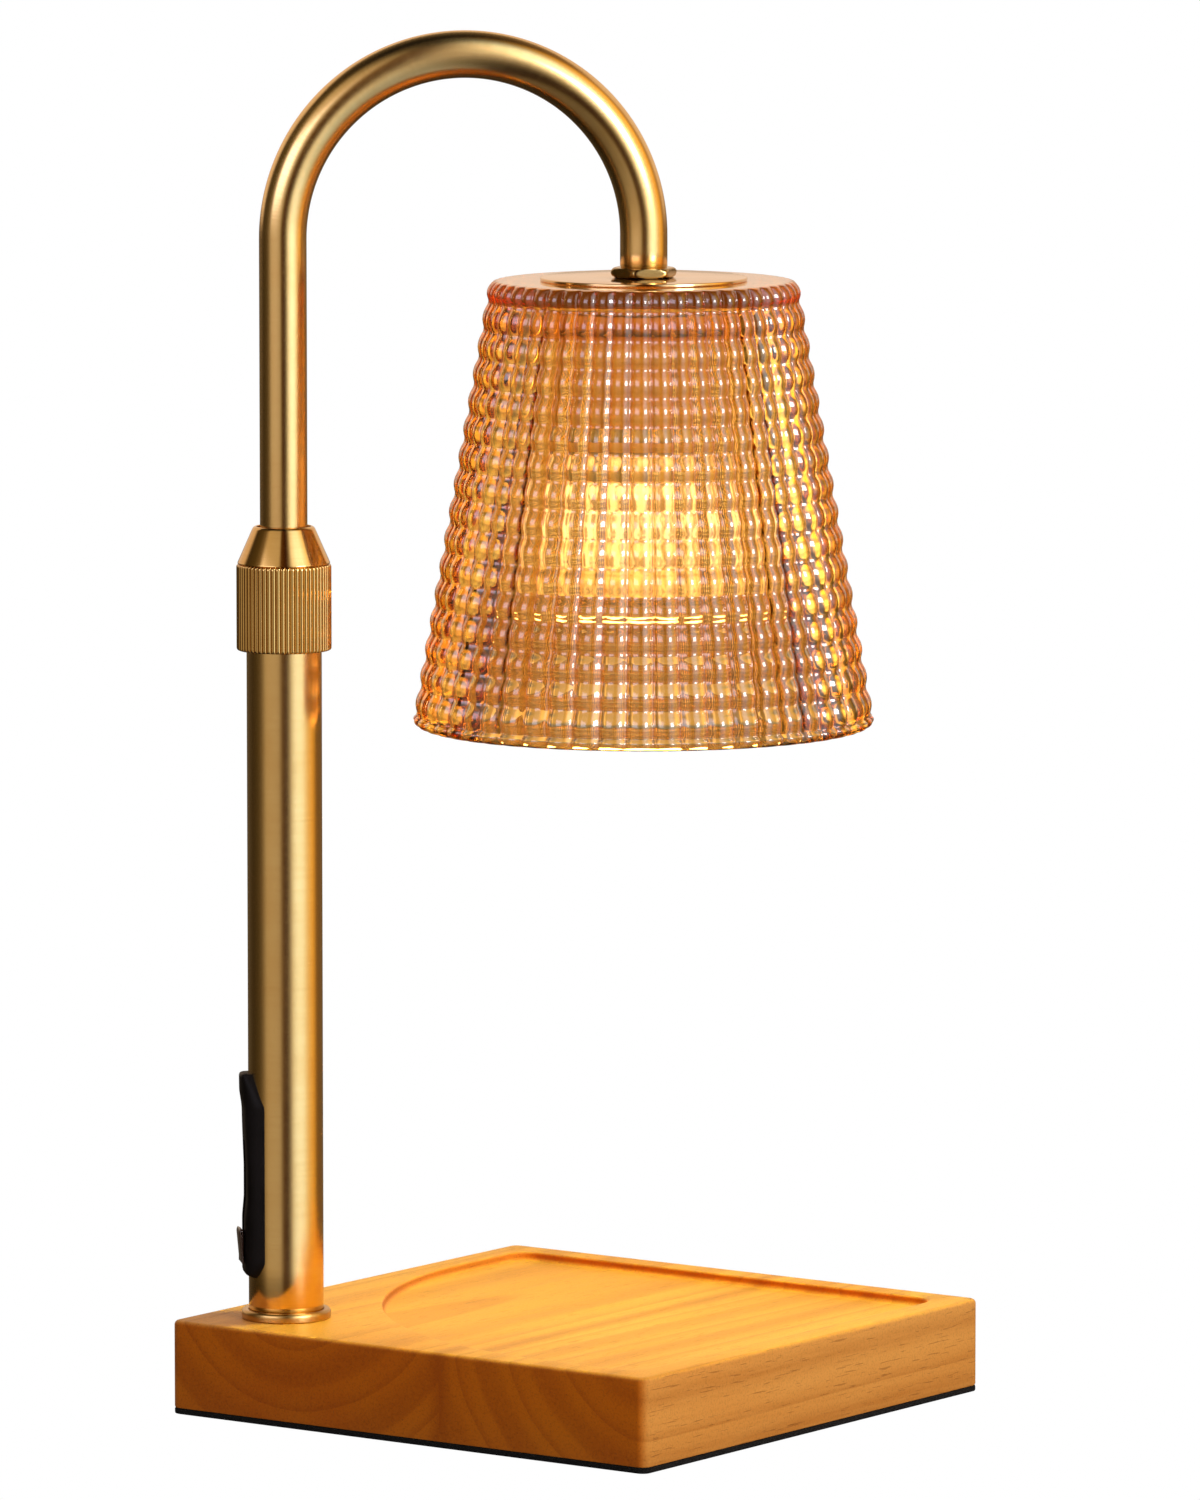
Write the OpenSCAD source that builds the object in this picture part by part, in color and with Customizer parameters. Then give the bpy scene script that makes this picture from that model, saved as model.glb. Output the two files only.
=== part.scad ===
// Candle warmer lamp: a beaded glass bell with a downward halogen bulb, hung from a hooked brass
// arm that slides and turns in a brass column on a square wooden base.
// Millimetres, +Z up. Origin: centre of the underside. The base's sides lie along X and Y; the
// column stands near the -X -Y corner and the arm reaches along the diagonal.

/* [Base] */
// Side of the square base
base_side = 148; // [146:1:160]
// Height of the base with its pad
base_h = 24; // [22:0.5:30]
// Thickness of the pad under the base
pad_t = 1.5; // [1:0.1:2.5]
// Radius of the base's upright corners
base_corner_r = 5; // [4:0.5:8]
// Radius along the base's top edge
base_edge_r = 1.2; // [0.8:0.1:2]
// Width of the rim around the tray
tray_rim = 8; // [6:0.5:9]
// Depth of the tray
tray_depth = 2.2; // [1.5:0.1:3]
// Radius of the hollow where the tray's wall meets its floor
tray_cove_r = 1.6; // [1:0.1:2]
// Radius of the tray's three tight corners
tray_corner_r = 6; // [4:0.5:9]
// Radius of the tray's wide corner, which gives way to the column
tray_wide_r = 107; // [100:1:112]
// Distance from the base's two near sides to the column's axis
column_inset = 21; // [19:0.5:23]

/* [Column] */
// Outer diameter of the column tube
column_d = 19; // [18.4:0.1:19.6]
// Wall of the column tube
column_wall = 1.2; // [1:0.1:1.4]
// Height of the column tube's upper end above the table
column_top = 199; // [196:1:204]
// Outer diameter of the ring at the column's foot
flange_d = 22.7; // [22.4:0.1:25]
// Height of the ring at the column's foot
flange_h = 2.4; // [2:0.1:3]
// Thickness of that ring under the tube
flange_floor = 0.8; // [0.6:0.1:1]
// Outer diameter of the hollow threaded nipples
nipple_d = 10; // [9.8:0.1:10]
// Bore of the hollow threaded nipples
nipple_bore = 7; // [6:0.1:7.2]
// Length of the press-in plug in the column's foot
foot_plug_h = 10; // [8:0.5:10.5]
// Diameter of the cord inlet's bore
inlet_bore = 4.4; // [3.6:0.1:4.8]

/* [Lock nut] */
// Diameter over the knurl
nut_d = 24; // [23.4:0.1:26]
// Height of the knurled part
knurl_h = 21.8; // [21:0.1:23]
// Height of the cone above the knurl
cone_h = 9.6; // [9:0.1:11]
// Diameter of the cone's upper end
nut_top_d = 15.6; // [15:0.1:17]
// Diameter of the hole that the arm passes through
nut_hole_d = 13.8; // [13.4:0.1:14]
// Number of knurl ribs
knurl_ribs = 60; // [40:1:70]
// Depth of the knurl
knurl_depth = 0.5; // [0.3:0.05:0.6]
// How far the nut's skirt reaches down over the column tube
nut_overlap = 4.4; // [3:0.1:6]

/* [Arm] */
// Outer diameter of the arm tube
arm_d = 12; // [11.8:0.1:12.2]
// Height of the bend's centre above the table, as photographed
arm_h = 298.5; // [294:0.5:305]
// Radius of the half-circle bend, to the tube's centre line
bend_r = 46; // [45:0.5:48]
// Straight length below the bend on the shade's side
leg_len = 8.2; // [6:0.2:12]
// Height of the arm tube's lower end inside the column
arm_foot = 157; // [155:0.5:160]
// How far the arm can come down
arm_drop = 65; // [40:1:65]
// How far the arm can still go up
arm_rise = 15; // [5:0.5:15]
// Height of the nylon bush that guides the arm in the column
bush_h = 8; // [6:0.5:9]

/* [Shade] */
// Diameter over the beads at the top
shade_top_d = 78.4; // [76:0.2:82]
// Diameter over the beads at the bottom
shade_bottom_d = 118; // [112:0.5:119]
// Number of bead rows below the top rim's row
bead_rows = 15; // [10:1:16]
// Height of one row of beads
row_pitch = 7; // [6:0.1:7.2]
// Height of the shorter first row at the rim
rim_row = 5.4; // [4.5:0.1:7]
// Number of beads round the shade
bead_columns = 52; // [36:1:56]
// How far each bead stands out
bead_h = 1.1; // [0.6:0.1:1.4]
// Height of the plain rounded lip at the bottom
lip_h = 3; // [2:0.1:5]
// Glass thickness under the grooves
glass_t = 3.6; // [3:0.1:4.4]
// Hole in the top of the glass
glass_hole_d = 32; // [28:0.5:34]
// Diameter of the polished plate on the glass
plate_d = 52.5; // [48:0.5:56]
// Thickness of the polished plate
plate_t = 0.9; // [0.8:0.1:1.5]
// Size across the flats of the collar nut on the plate
collar_af = 15; // [14.4:0.1:16]
// Height of the collar nut
collar_h = 2.5; // [2:0.1:3]

/* [Lampholder] */
// Outer diameter of the cup round the lampholder
cup_d = 41.5; // [38:0.5:43]
// Height of the cup
cup_h = 30.1; // [29:0.1:32]
// How far the lampholder's face lies inside the cup
holder_inset = 6; // [5:0.5:7]
// Diameter of the ceramic lampholder
holder_d = 26; // [25:0.5:28]
// Height of the ceramic lampholder
holder_h = 15; // [14:0.5:15.5]
// Distance between the bulb's two pins
pin_spacing = 10; // [9.6:0.1:10.4]
// Turn that frees the bulb from the lampholder, in degrees
twist = 30; // [20:1:36]

/* [Bulb] */
// Diameter of the bulb's face
bulb_d = 50; // [48:0.5:52]
// Length from the bulb's face to the root of its pins
bulb_len = 46; // [44:0.5:50]

/* [Dimmer] */
// Height of the switch housing's lower end above the base
switch_lift = 11; // [11:0.5:14]
// Height of the switch housing
switch_h = 52; // [50:0.5:54]
// How far the housing's face stands from the column's axis
switch_face = 11; // [10.9:0.05:11.3]
// How far the lip at the housing's top stands from the column's axis
switch_lip = 12; // [11.8:0.05:12.4]
// Half of the angle that the housing covers on the column
switch_half_angle = 49; // [44:0.5:52]
// Height of the thumb tab
tab_h = 9; // [8:0.5:10]
// Width of the thumb tab
tab_w = 6; // [5:0.5:7]
// Travel of the thumb tab
tab_travel = 24; // [16:0.5:25]

/* [Hidden] */
$fn = 64;

// Clearances
slide_fit = 0.05;      // radial, between parts that slide or turn in each other
thread_fit = 0.02;     // radial, in threads and press fits
free_gap = 0.3;        // between parts of different bodies that pass each other
cut = 1;               // how far a cutting shape runs past what it cuts

// Base
base_half = base_side / 2;
column_xy = column_inset - base_half;
tray_half = base_half - tray_rim;
tray_z = base_h - tray_depth;
cove_steps = 5;
foot_bore_r = nipple_d / 2 + 0.2;
counterbore_r = 13;
counterbore_top = pad_t + 8;
washer_r = 11;
washer_t = 1.2;
foot_nut_af = 14;
foot_nut_h = 3.4;
nipple_overhang = 0.8;
grommet_z = pad_t + 5.5;
grommet_body_r = inlet_bore / 2 + 1.4;
grommet_flange_r = grommet_body_r + 1.4;
grommet_flange_t = 1.2;

// Column
column_r = column_d / 2;
column_bore_r = column_r - column_wall;
tube_seat_z = base_h + flange_floor;
seat_fit = 0.05;
window_clear = 0.1;

// Lock nut and collet
arm_r = arm_d / 2;
arm_bore_r = nipple_d / 2;
arm_hole_r = arm_r + slide_fit;
nut_bottom = column_top - nut_overlap;
nut_cone_z = nut_bottom + knurl_h;
nut_top = nut_cone_z + cone_h;
thread_r = column_r - 0.5;
collar_press_h = 12;
collar_top = nut_cone_z - 4.4;
collet_top = collar_top + 8.6;
collet_foot_r = thread_r - 0.4;
collet_tip_r = nut_hole_d / 2 - 0.2;
collet_slit = 1.2;
nut_cone_low = collar_top + 1.6;
nut_cone_high = collet_top + 0.6;

// Arm
reach = 2 * bend_r;
bush_bottom = arm_foot + 3;
bush_top = bush_bottom + bush_h;
clip_t = 1.2;
stop_t = 1.8;
ring_r = column_bore_r - free_gap;
lead_d = 4;

// Shade, measured downwards from the arm's end
collar_top_z = arm_h - leg_len;
plate_top_z = collar_top_z - collar_h;
glass_top = plate_top_z - plate_t;
shade_h = rim_row + bead_rows * row_pitch + lip_h;
glass_bottom = glass_top - shade_h;
shade_slope = (shade_bottom_d - shade_top_d) / 2 / shade_h;
ceiling_z = glass_top - glass_t;
bead_rings = 2;
facets_round = 2 * bead_columns;
gasket_t = 1.2;
pressure_t = 1.2;
pressure_d = 44;
m10_h = 2.8;
m10_af = 14;
pressure_z = ceiling_z - gasket_t - pressure_t;
cup_top = pressure_z - m10_h;
cup_wall = 0.8;
cup_bottom = cup_top - cup_h;

// Lampholder, measured upwards from its face
holder_z = cup_bottom + holder_inset;
holder_top = holder_z + holder_h;
key_plate_t = 3.9;
slot_depth = 11;
contact_t = 0.8;
pin_r = 1.6;
pin_head_r = 2.4;
pin_len = 7.4;
pin_head_h = 2.4;
key_clear = 0.35;
bracket_t = 1.2;
bracket_w = 14;
bracket_foot_x = 16;
bracket_screw_x = 11.5;
bracket_tab_x = 8.6;
bracket_screw_r = 1.5;
bracket_screw_len = 6;
screw_head_r = 2.7;
screw_head_h = 1.8;
bracket_z = cup_top - cup_wall - bracket_t;
nipple_low = bracket_z - m10_h - 0.4;
nipple_high = arm_h - 0.4;

// Bulb
bulb_root = holder_z - 0.4;
bulb_face = bulb_root - bulb_len;
bulb_rim_h = 2.6;
bulb_wall = 1.2;
bulb_neck_r = 11.5;
bulb_neck_z = bulb_root - 13;
lens_t = 1.6;
rim_step = 0.6;
lens_seat_r = bulb_d / 2 - rim_step - bulb_wall;
cap_r = 12.5;
cap_chamfer = 1.5;
socket_r = 6;
socket_depth = 6;
capsule_r = 5;
capsule_len = 28;

// Dimmer, with its face turned away from the shade
switch_z = base_h + switch_lift;
switch_top = switch_z + switch_h;
track_face = switch_face - 0.5;
tab_rest_z = switch_z + 3.4;
stem_w = 2.4;
stem_h = 5;
slot_clear = 0.4;
tab_under = switch_face + 0.3;
tab_proud = switch_face + 1.4;
window_half = 5;
window_low = switch_z + 2.5;
window_high = switch_top - 6;
board_x = 1;
board_t = 1.2;
board_w = 9;
resistor_t = 4;
resistor_w = 8;
resistor_gap = 0.6;
stem_reach = 1.4;
post_h = 3;
board_screw_r = 1;

// ---- placing -------------------------------------------------------------

// Puts its children on the column's axis, with +X towards the shade
module at_column() {
    translate([column_xy, column_xy, 0]) rotate([0, 0, 45]) children();
}

// Puts its children on the shade's axis, with +X away from the column
module at_shade() {
    at_column() translate([reach, 0, 0]) children();
}

// ---- shared shapes -------------------------------------------------------

// Flat ring or pipe between two heights
module pipe(r_out, r_in, z_low, z_high) {
    difference() {
        translate([0, 0, z_low]) cylinder(r = r_out, h = z_high - z_low);
        translate([0, 0, z_low - cut]) cylinder(r = r_in, h = z_high - z_low + 2 * cut);
    }
}

// Solid of revolution through points given as radius and height
module lathe(points) {
    rotate_extrude() polygon(points);
}

// Chamfered hexagon nut, round hole
module hex_nut(af, r_in, z_low, height, chamfer) {
    corner_r = af / 2 / cos(30);
    difference() {
        intersection() {
            translate([0, 0, z_low]) cylinder(r = corner_r, h = height, $fn = 6);
            lathe([
                [0, z_low], [corner_r - chamfer, z_low], [corner_r, z_low + chamfer * 0.6],
                [corner_r, z_low + height - chamfer * 0.6], [corner_r - chamfer, z_low + height],
                [0, z_low + height]
            ]);
        }
        translate([0, 0, z_low - cut]) cylinder(r = r_in, h = height + 2 * cut);
    }
}

// Square with round corners, centred
module round_square(half, r) {
    square([2 * half, 2 * (half - r)], center = true);
    square([2 * (half - r), 2 * half], center = true);
    for (x = [-1, 1], y = [-1, 1]) translate([x * (half - r), y * (half - r)]) circle(r);
}

// ---- base ----------------------------------------------------------------

// Corner of the wooden block, with the rounded top edge as a quarter-round in five steps
module base_post() {
    rotate_extrude($fn = 32) polygon(concat(
        [[0, pad_t], [base_corner_r, pad_t]],
        [for (i = [0:5]) [
            base_corner_r - base_edge_r + base_edge_r * cos(i * 18),
            base_h - base_edge_r + base_edge_r * sin(i * 18)
        ]],
        [[0, base_h]]
    ));
}

// Outline of the tray: three tight corners, and a wide one on the column's side
module tray_outline(inset) {
    half = tray_half - inset;
    wide_c = tray_wide_r - tray_half;
    intersection() {
        round_square(half, tray_corner_r - inset);
        union() {
            translate([wide_c, wide_c]) circle(tray_wide_r - inset, $fn = 180);
            translate([wide_c, -base_half]) square([base_half, base_side]);
            translate([-base_half, wide_c]) square([base_side, base_half]);
        }
    }
}

// The tray, cut out of the block: an upright wall with a quarter-round cove at its foot
module tray_cut() {
    translate([0, 0, tray_z + tray_cove_r])
        linear_extrude(tray_depth - tray_cove_r + cut) tray_outline(0);
    for (i = [0:cove_steps - 1]) {
        a = 90 * (i + 0.5) / cove_steps;
        z = tray_z + tray_cove_r * (1 - cos(90 * i / cove_steps));
        translate([0, 0, z]) linear_extrude(base_h - z) tray_outline(tray_cove_r * (1 - sin(a)));
    }
}

module base_block() {
    color("burlywood") difference() {
        hull() {
            for (x = [-1, 1], y = [-1, 1])
                translate([x * (base_half - base_corner_r), y * (base_half - base_corner_r), 0])
                    base_post();
        }
        tray_cut();
        at_column() {
            translate([0, 0, pad_t - cut]) cylinder(r = foot_bore_r, h = base_h);
            translate([0, 0, pad_t - cut])
                cylinder(r = counterbore_r, h = counterbore_top - pad_t + cut);
        }
        translate([-base_half - cut, column_xy, grommet_z]) rotate([0, 90, 0]) {
            cylinder(r = grommet_body_r + thread_fit, h = column_inset + cut);
            cylinder(r = grommet_flange_r + thread_fit, h = grommet_flange_t + cut);
        }
    }
}

module base_pad() {
    color("black") linear_extrude(pad_t) round_square(base_half, base_corner_r);
}

// Bush in the hidden -X side where the cord would enter
module cord_grommet() {
    grommet_len = column_inset - counterbore_r;
    color("dimgray") translate([-base_half, column_xy, grommet_z]) rotate([0, 90, 0])
        difference() {
            union() {
                cylinder(r = grommet_body_r, h = grommet_len);
                cylinder(r = grommet_flange_r, h = grommet_flange_t);
            }
            translate([0, 0, -cut]) cylinder(d = inlet_bore, h = grommet_len + 2 * cut);
        }
}

// ---- column --------------------------------------------------------------

module column_flange() {
    flange_r = flange_d / 2;
    edge = flange_h / 3;
    color("goldenrod") at_column() difference() {
        lathe(concat(
            [[foot_bore_r, base_h], [flange_r - 0.3, base_h], [flange_r, base_h + 0.3]],
            [for (i = [0:4]) [
                flange_r - edge + edge * cos(i * 22.5),
                base_h + flange_h - edge + edge * sin(i * 22.5)
            ]],
            [[foot_bore_r, base_h + flange_h]]
        ));
        translate([0, 0, tube_seat_z]) cylinder(r = column_r + seat_fit, h = flange_h);
    }
}

module foot_plug() {
    color("silver") at_column()
        pipe(column_bore_r - thread_fit, nipple_d / 2 + thread_fit, tube_seat_z, base_h + foot_plug_h);
}

module foot_nipple() {
    color("silver") at_column() pipe(
        nipple_d / 2, nipple_bore / 2,
        counterbore_top - washer_t - foot_nut_h - nipple_overhang, base_h + foot_plug_h - 1
    );
}

module foot_washer() {
    color("silver") at_column()
        pipe(washer_r, foot_bore_r, counterbore_top - washer_t, counterbore_top);
}

module foot_nut() {
    color("silver") at_column() hex_nut(
        foot_nut_af, nipple_d / 2 + thread_fit, counterbore_top - washer_t - foot_nut_h, foot_nut_h, 0.8
    );
}

module column_tube() {
    color("goldenrod") at_column() difference() {
        pipe(column_r, column_bore_r, tube_seat_z, column_top);
        translate([-column_d, -window_half - window_clear, window_low - window_clear])
            cube([
                column_d, 2 * (window_half + window_clear),
                window_high - window_low + 2 * window_clear
            ]);
    }
}

// Pressed into the column's upper end; its outside carries the lock nut's thread
module column_collar() {
    color("goldenrod") at_column() difference() {
        union() {
            translate([0, 0, column_top - collar_press_h])
                cylinder(r = column_bore_r - thread_fit, h = collar_press_h + cut);
            translate([0, 0, column_top]) cylinder(r = thread_r, h = collar_top - column_top);
        }
        translate([0, 0, column_top - collar_press_h - cut])
            cylinder(r = arm_hole_r, h = collar_top - column_top + collar_press_h + 2 * cut);
    }
}

// Slit nylon cone that the lock nut squeezes onto the arm
module split_collet() {
    color("whitesmoke") at_column() difference() {
        lathe([
            [arm_hole_r, collar_top], [collet_foot_r, collar_top], [collet_foot_r, collar_top + 1.2],
            [collet_tip_r, collet_top], [arm_hole_r, collet_top]
        ]);
        translate([0, -collet_slit / 2, collar_top - cut])
            cube([column_r, collet_slit, collet_top - collar_top + 2 * cut]);
    }
}

// ---- dimmer --------------------------------------------------------------

// Side view of the housing's face, from the tube outwards: boss, hollow track, proud lip
function face_profile() = [
    [0, switch_z], [switch_face - 0.6, switch_z], [switch_face, switch_z + 0.8],
    [switch_face, switch_z + 15], [track_face, switch_z + 20.5], [track_face, switch_z + 28],
    [switch_face, switch_z + switch_h - 9], [switch_lip - 0.2, switch_z + switch_h - 4.6],
    [switch_lip, switch_top - 0.8], [switch_lip - 0.8, switch_top], [0, switch_top]
];

// Front view of the housing: a long plate with cut corners, wider cuts at the top
module face_outline() {
    half = column_r * sin(switch_half_angle);
    polygon([
        [-half + 3.4, switch_z], [half - 3.4, switch_z], [half, switch_z + 3.6],
        [half, switch_top - 8.2], [half - 3.8, switch_top],
        [-half + 3.8, switch_top], [-half, switch_top - 8.2], [-half, switch_z + 3.6]
    ]);
}

// Lens-shaped section: meets the column's surface at the housing's two long edges
module face_bulge() {
    edge_x = column_r * cos(switch_half_angle);
    edge_y = column_r * sin(switch_half_angle);
    bulge_x = (pow(switch_lip, 2) - pow(edge_x, 2) - pow(edge_y, 2)) / 2 / (switch_lip - edge_x);
    translate([-bulge_x, 0, switch_z - cut])
        cylinder(r = switch_lip - bulge_x, h = switch_h + 2 * cut);
}

module switch_housing() {
    slot_low = tab_rest_z + (tab_h - stem_h) / 2 - slot_clear;
    slot_high = tab_rest_z + (tab_h + stem_h) / 2 + tab_travel + slot_clear;
    color("black") at_column() difference() {
        union() {
            difference() {
                intersection() {
                    rotate([90, 0, 180]) translate([0, 0, -column_r])
                        linear_extrude(column_d) polygon(face_profile());
                    rotate([90, 0, -90]) linear_extrude(column_d) face_outline();
                    face_bulge();
                }
                translate([0, 0, switch_z - cut]) cylinder(r = column_r, h = switch_h + 2 * cut);
            }
            difference() {
                translate([-column_r - 0.4, -window_half, window_low])
                    cube([column_r + 0.4 - board_x - board_t, 2 * window_half, window_high - window_low]);
                translate([-column_r + column_wall + 0.4, -window_half - cut, window_low + post_h])
                    cube([column_r, 2 * (window_half + cut), window_high - window_low - 2 * post_h]);
            }
        }
        translate([-switch_lip - cut, -stem_w / 2 - slot_clear, slot_low])
            cube([switch_lip, stem_w + 2 * slot_clear, slot_high - slot_low]);
        for (z = [window_low + post_h / 2, window_high - post_h / 2])
            translate([-board_x - board_t - 4, 0, z]) rotate([0, 90, 0])
                cylinder(r = board_screw_r + thread_fit, h = 4 + cut);
    }
}

module dimmer_board() {
    color("darkgreen") at_column() difference() {
        translate([-board_x - board_t, -board_w / 2, window_low])
            cube([board_t, board_w, window_high - window_low]);
        for (z = [window_low + post_h / 2, window_high - post_h / 2])
            translate([-board_x - board_t - cut, 0, z]) rotate([0, 90, 0])
                cylinder(r = board_screw_r + thread_fit, h = board_t + 2 * cut);
    }
}

// Slide resistor on the board, open along its face for the tab's stem
module slide_resistor() {
    low = window_low + post_h + resistor_gap;
    high = window_high - post_h - resistor_gap;
    color("silver") at_column() difference() {
        translate([-board_x - board_t - resistor_t, -resistor_w / 2, low])
            cube([resistor_t, resistor_w, high - low]);
        translate([-board_x - board_t - resistor_t - cut, -stem_w / 2 - slot_clear, low - cut])
            cube([stem_reach + slot_clear + cut, stem_w + 2 * slot_clear, high - low + 2 * cut]);
    }
}

module board_screws() {
    color("silver") at_column()
        for (z = [window_low + post_h / 2, window_high - post_h / 2]) translate([0, 0, z]) {
            translate([-board_x - board_t - 3.6, 0, 0]) rotate([0, 90, 0])
                cylinder(r = board_screw_r, h = 3.6 + board_t);
            translate([-board_x, 0, 0]) rotate([0, 90, 0])
                cylinder(r = 1.9 * board_screw_r, h = 0.8);
        }
}

// Wedge-shaped thumb tab with its stem into the slide resistor
module dimmer_tab() {
    stem_z = tab_rest_z + (tab_h - stem_h) / 2;
    stem_end = board_x + board_t + resistor_t - stem_reach;
    color("saddlebrown") at_column() {
        rotate([90, 0, 180]) translate([0, 0, -tab_w / 2]) linear_extrude(tab_w) polygon([
            [tab_under, tab_rest_z], [tab_under + 0.3, tab_rest_z],
            [tab_proud, tab_rest_z + tab_h - 0.9], [tab_proud - 0.3, tab_rest_z + tab_h],
            [tab_under, tab_rest_z + tab_h - 0.5]
        ]);
        translate([-tab_under - 0.1, -stem_w / 2, stem_z])
            cube([tab_under + 0.1 - stem_end, stem_w, stem_h]);
    }
}

// ---- lock nut ------------------------------------------------------------

// Outline with V-shaped ribs all round
module knurl_outline() {
    polygon([for (i = [0:2 * knurl_ribs - 1])
        let (r = nut_d / 2 - (i % 2) * knurl_depth, a = 180 * i / knurl_ribs)
            [r * cos(a), r * sin(a)]
    ]);
}

module lock_nut() {
    r = nut_d / 2;
    rib_end_r = r - 0.6 * knurl_depth;
    color("gold") at_column() difference() {
        union() {
            intersection() {
                translate([0, 0, nut_bottom]) linear_extrude(knurl_h) knurl_outline();
                lathe([
                    [0, nut_bottom], [rib_end_r, nut_bottom], [r + 0.1, nut_bottom + 0.6],
                    [r + 0.1, nut_cone_z - 0.6], [rib_end_r, nut_cone_z], [0, nut_cone_z]
                ]);
            }
            lathe([
                [0, nut_cone_z - cut], [r - knurl_depth - 0.2, nut_cone_z - cut],
                [r - knurl_depth - 0.2, nut_cone_z], [nut_top_d / 2, nut_top - 0.5],
                [nut_top_d / 2 - 0.6, nut_top], [0, nut_top]
            ]);
        }
        lathe([
            [0, nut_bottom - cut], [column_r + free_gap, nut_bottom - cut],
            [column_r + free_gap, column_top + free_gap], [thread_r + slide_fit, column_top + free_gap],
            [thread_r + slide_fit, nut_cone_low], [nut_hole_d / 2, nut_cone_high],
            [nut_hole_d / 2, nut_top + cut], [0, nut_top + cut]
        ]);
    }
}

// ---- arm -----------------------------------------------------------------

module guide_bush() {
    color("whitesmoke") at_column()
        pipe(column_bore_r - slide_fit, arm_hole_r, bush_bottom, bush_top);
}

// Round bar or tube along the hook: up the column's side, over the bend, down to the shade
module hook(r, z_column, z_shade) {
    translate([0, 0, z_column]) cylinder(r = r, h = arm_h - z_column);
    translate([bend_r, 0, arm_h]) rotate([90, 0, 0])
        rotate_extrude(angle = 180, $fn = 120) translate([bend_r, 0]) circle(r);
    translate([reach, 0, z_shade]) cylinder(r = r, h = arm_h - z_shade);
}

module arm_tube() {
    color("goldenrod") at_column() difference() {
        hook(arm_r, arm_foot, collar_top_z);
        hook(arm_bore_r, arm_foot - cut, collar_top_z - cut);
    }
}

module arm_stop_ring() {
    color("silver") at_column()
        pipe(ring_r, arm_r, bush_top + free_gap, bush_top + free_gap + stop_t);
}

// Open spring ring under the guide bush
module retaining_clip() {
    color("silver") at_column() difference() {
        pipe(arm_r + 1.6, arm_r, bush_bottom - free_gap - clip_t, bush_bottom - free_gap);
        translate([0, -1.5, bush_bottom - free_gap - clip_t - cut])
            cube([column_r, 3, clip_t + 2 * cut]);
    }
}

// Flat-free round lead through the hook, from the arm's foot to the lampholder
module arm_lead() {
    color("white") at_column() hook(lead_d / 2, arm_foot + 1, holder_top + 0.3);
}

// ---- shade ---------------------------------------------------------------

module collar_nut() {
    color("darkgoldenrod") at_shade() rotate([0, 0, 3])
        hex_nut(collar_af, nipple_d / 2 + thread_fit, plate_top_z, collar_h, 0.9);
}

module shade_plate() {
    color("gold") at_shade()
        pipe(plate_d / 2, nipple_d / 2 + 0.15, glass_top, plate_top_z);
}

// Radius of the glass under its beads, at a depth below the glass's top
function groove_r(depth) = shade_top_d / 2 - bead_h + shade_slope * depth;

// Stations of the shade's skin as radius, height and bead height. They run up the outside, over
// the top to the hole, and down the inside back to the lip.
function bead_stations() = [
    for (row = [bead_rows:-1:1], i = [0:bead_rings - 1])
        let (phase = i / bead_rings, depth = rim_row + (row - phase) * row_pitch)
            [groove_r(depth), glass_top - depth, bead_h * sqrt(sin(180 * phase))]
];
function shade_stations() = concat(
    [
        [groove_r(shade_h) - 2.6, glass_bottom, 0],
        [groove_r(shade_h) - 0.3, glass_bottom + lip_h * 0.3, 0.3 * bead_h]
    ],
    bead_stations(),
    [
        [groove_r(rim_row), glass_top - rim_row, 0],
        [groove_r(rim_row / 2), glass_top - rim_row / 2, bead_h],
        [groove_r(0), glass_top - 0.8, 0.8 * bead_h],
        [groove_r(0) - 1.4, glass_top, 0],
        [glass_hole_d / 2, glass_top, 0],
        [glass_hole_d / 2, ceiling_z, 0],
        [groove_r(glass_t) - glass_t - 4, ceiling_z, 0],
        [groove_r(glass_t + 4) - glass_t, ceiling_z - 4, 0],
        [groove_r(shade_h) - glass_t, glass_bottom + lip_h * 0.4, 0]
    ]
);

module glass_shade() {
    stations = shade_stations();
    count = len(stations);
    points = [for (s = stations, i = [0:facets_round - 1])
        let (r = s[0] + (i % 2) * s[2], a = 360 * i / facets_round)
            [r * cos(a), r * sin(a), s[1]]
    ];
    faces = [for (k = [0:count - 1], i = [0:facets_round - 1])
        let (
            next_k = (k + 1) % count, next_i = (i + 1) % facets_round,
            a = k * facets_round + i, b = k * facets_round + next_i,
            c = next_k * facets_round + next_i, d = next_k * facets_round + i
        ) for (face = [[a, c, b], [a, d, c]]) face
    ];
    color("orange", 0.6) at_shade() polyhedron(points, faces, convexity = 6);
}

// Silicone washer under the glass, with a spigot that centres it on the nipple
module shade_gasket() {
    color("white") at_shade() difference() {
        union() {
            translate([0, 0, ceiling_z - gasket_t]) cylinder(d = pressure_d, h = gasket_t);
            translate([0, 0, ceiling_z - gasket_t])
                cylinder(d = glass_hole_d - 0.6, h = gasket_t + glass_t - 0.4);
        }
        translate([0, 0, ceiling_z - gasket_t - cut])
            cylinder(r = nipple_d / 2 + 0.15, h = glass_t + gasket_t + 2 * cut);
    }
}

module pressure_plate() {
    color("silver") at_shade()
        pipe(pressure_d / 2, nipple_d / 2 + 0.15, pressure_z, pressure_z + pressure_t);
}

module shade_nipple() {
    color("silver") at_shade() pipe(nipple_d / 2, nipple_bore / 2, nipple_low, nipple_high);
}

// Two equal nuts on the nipple: one under the pressure plate, and one under the lampholder's
// bracket, which clamps the bracket and the cup against the first
module m10_nuts() {
    tops = [pressure_z, bracket_z];
    color("silver") at_shade() for (top = tops)
        hex_nut(m10_af, nipple_d / 2 + thread_fit, top - m10_h, m10_h, 0.8);
}

// ---- lampholder ----------------------------------------------------------

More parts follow.
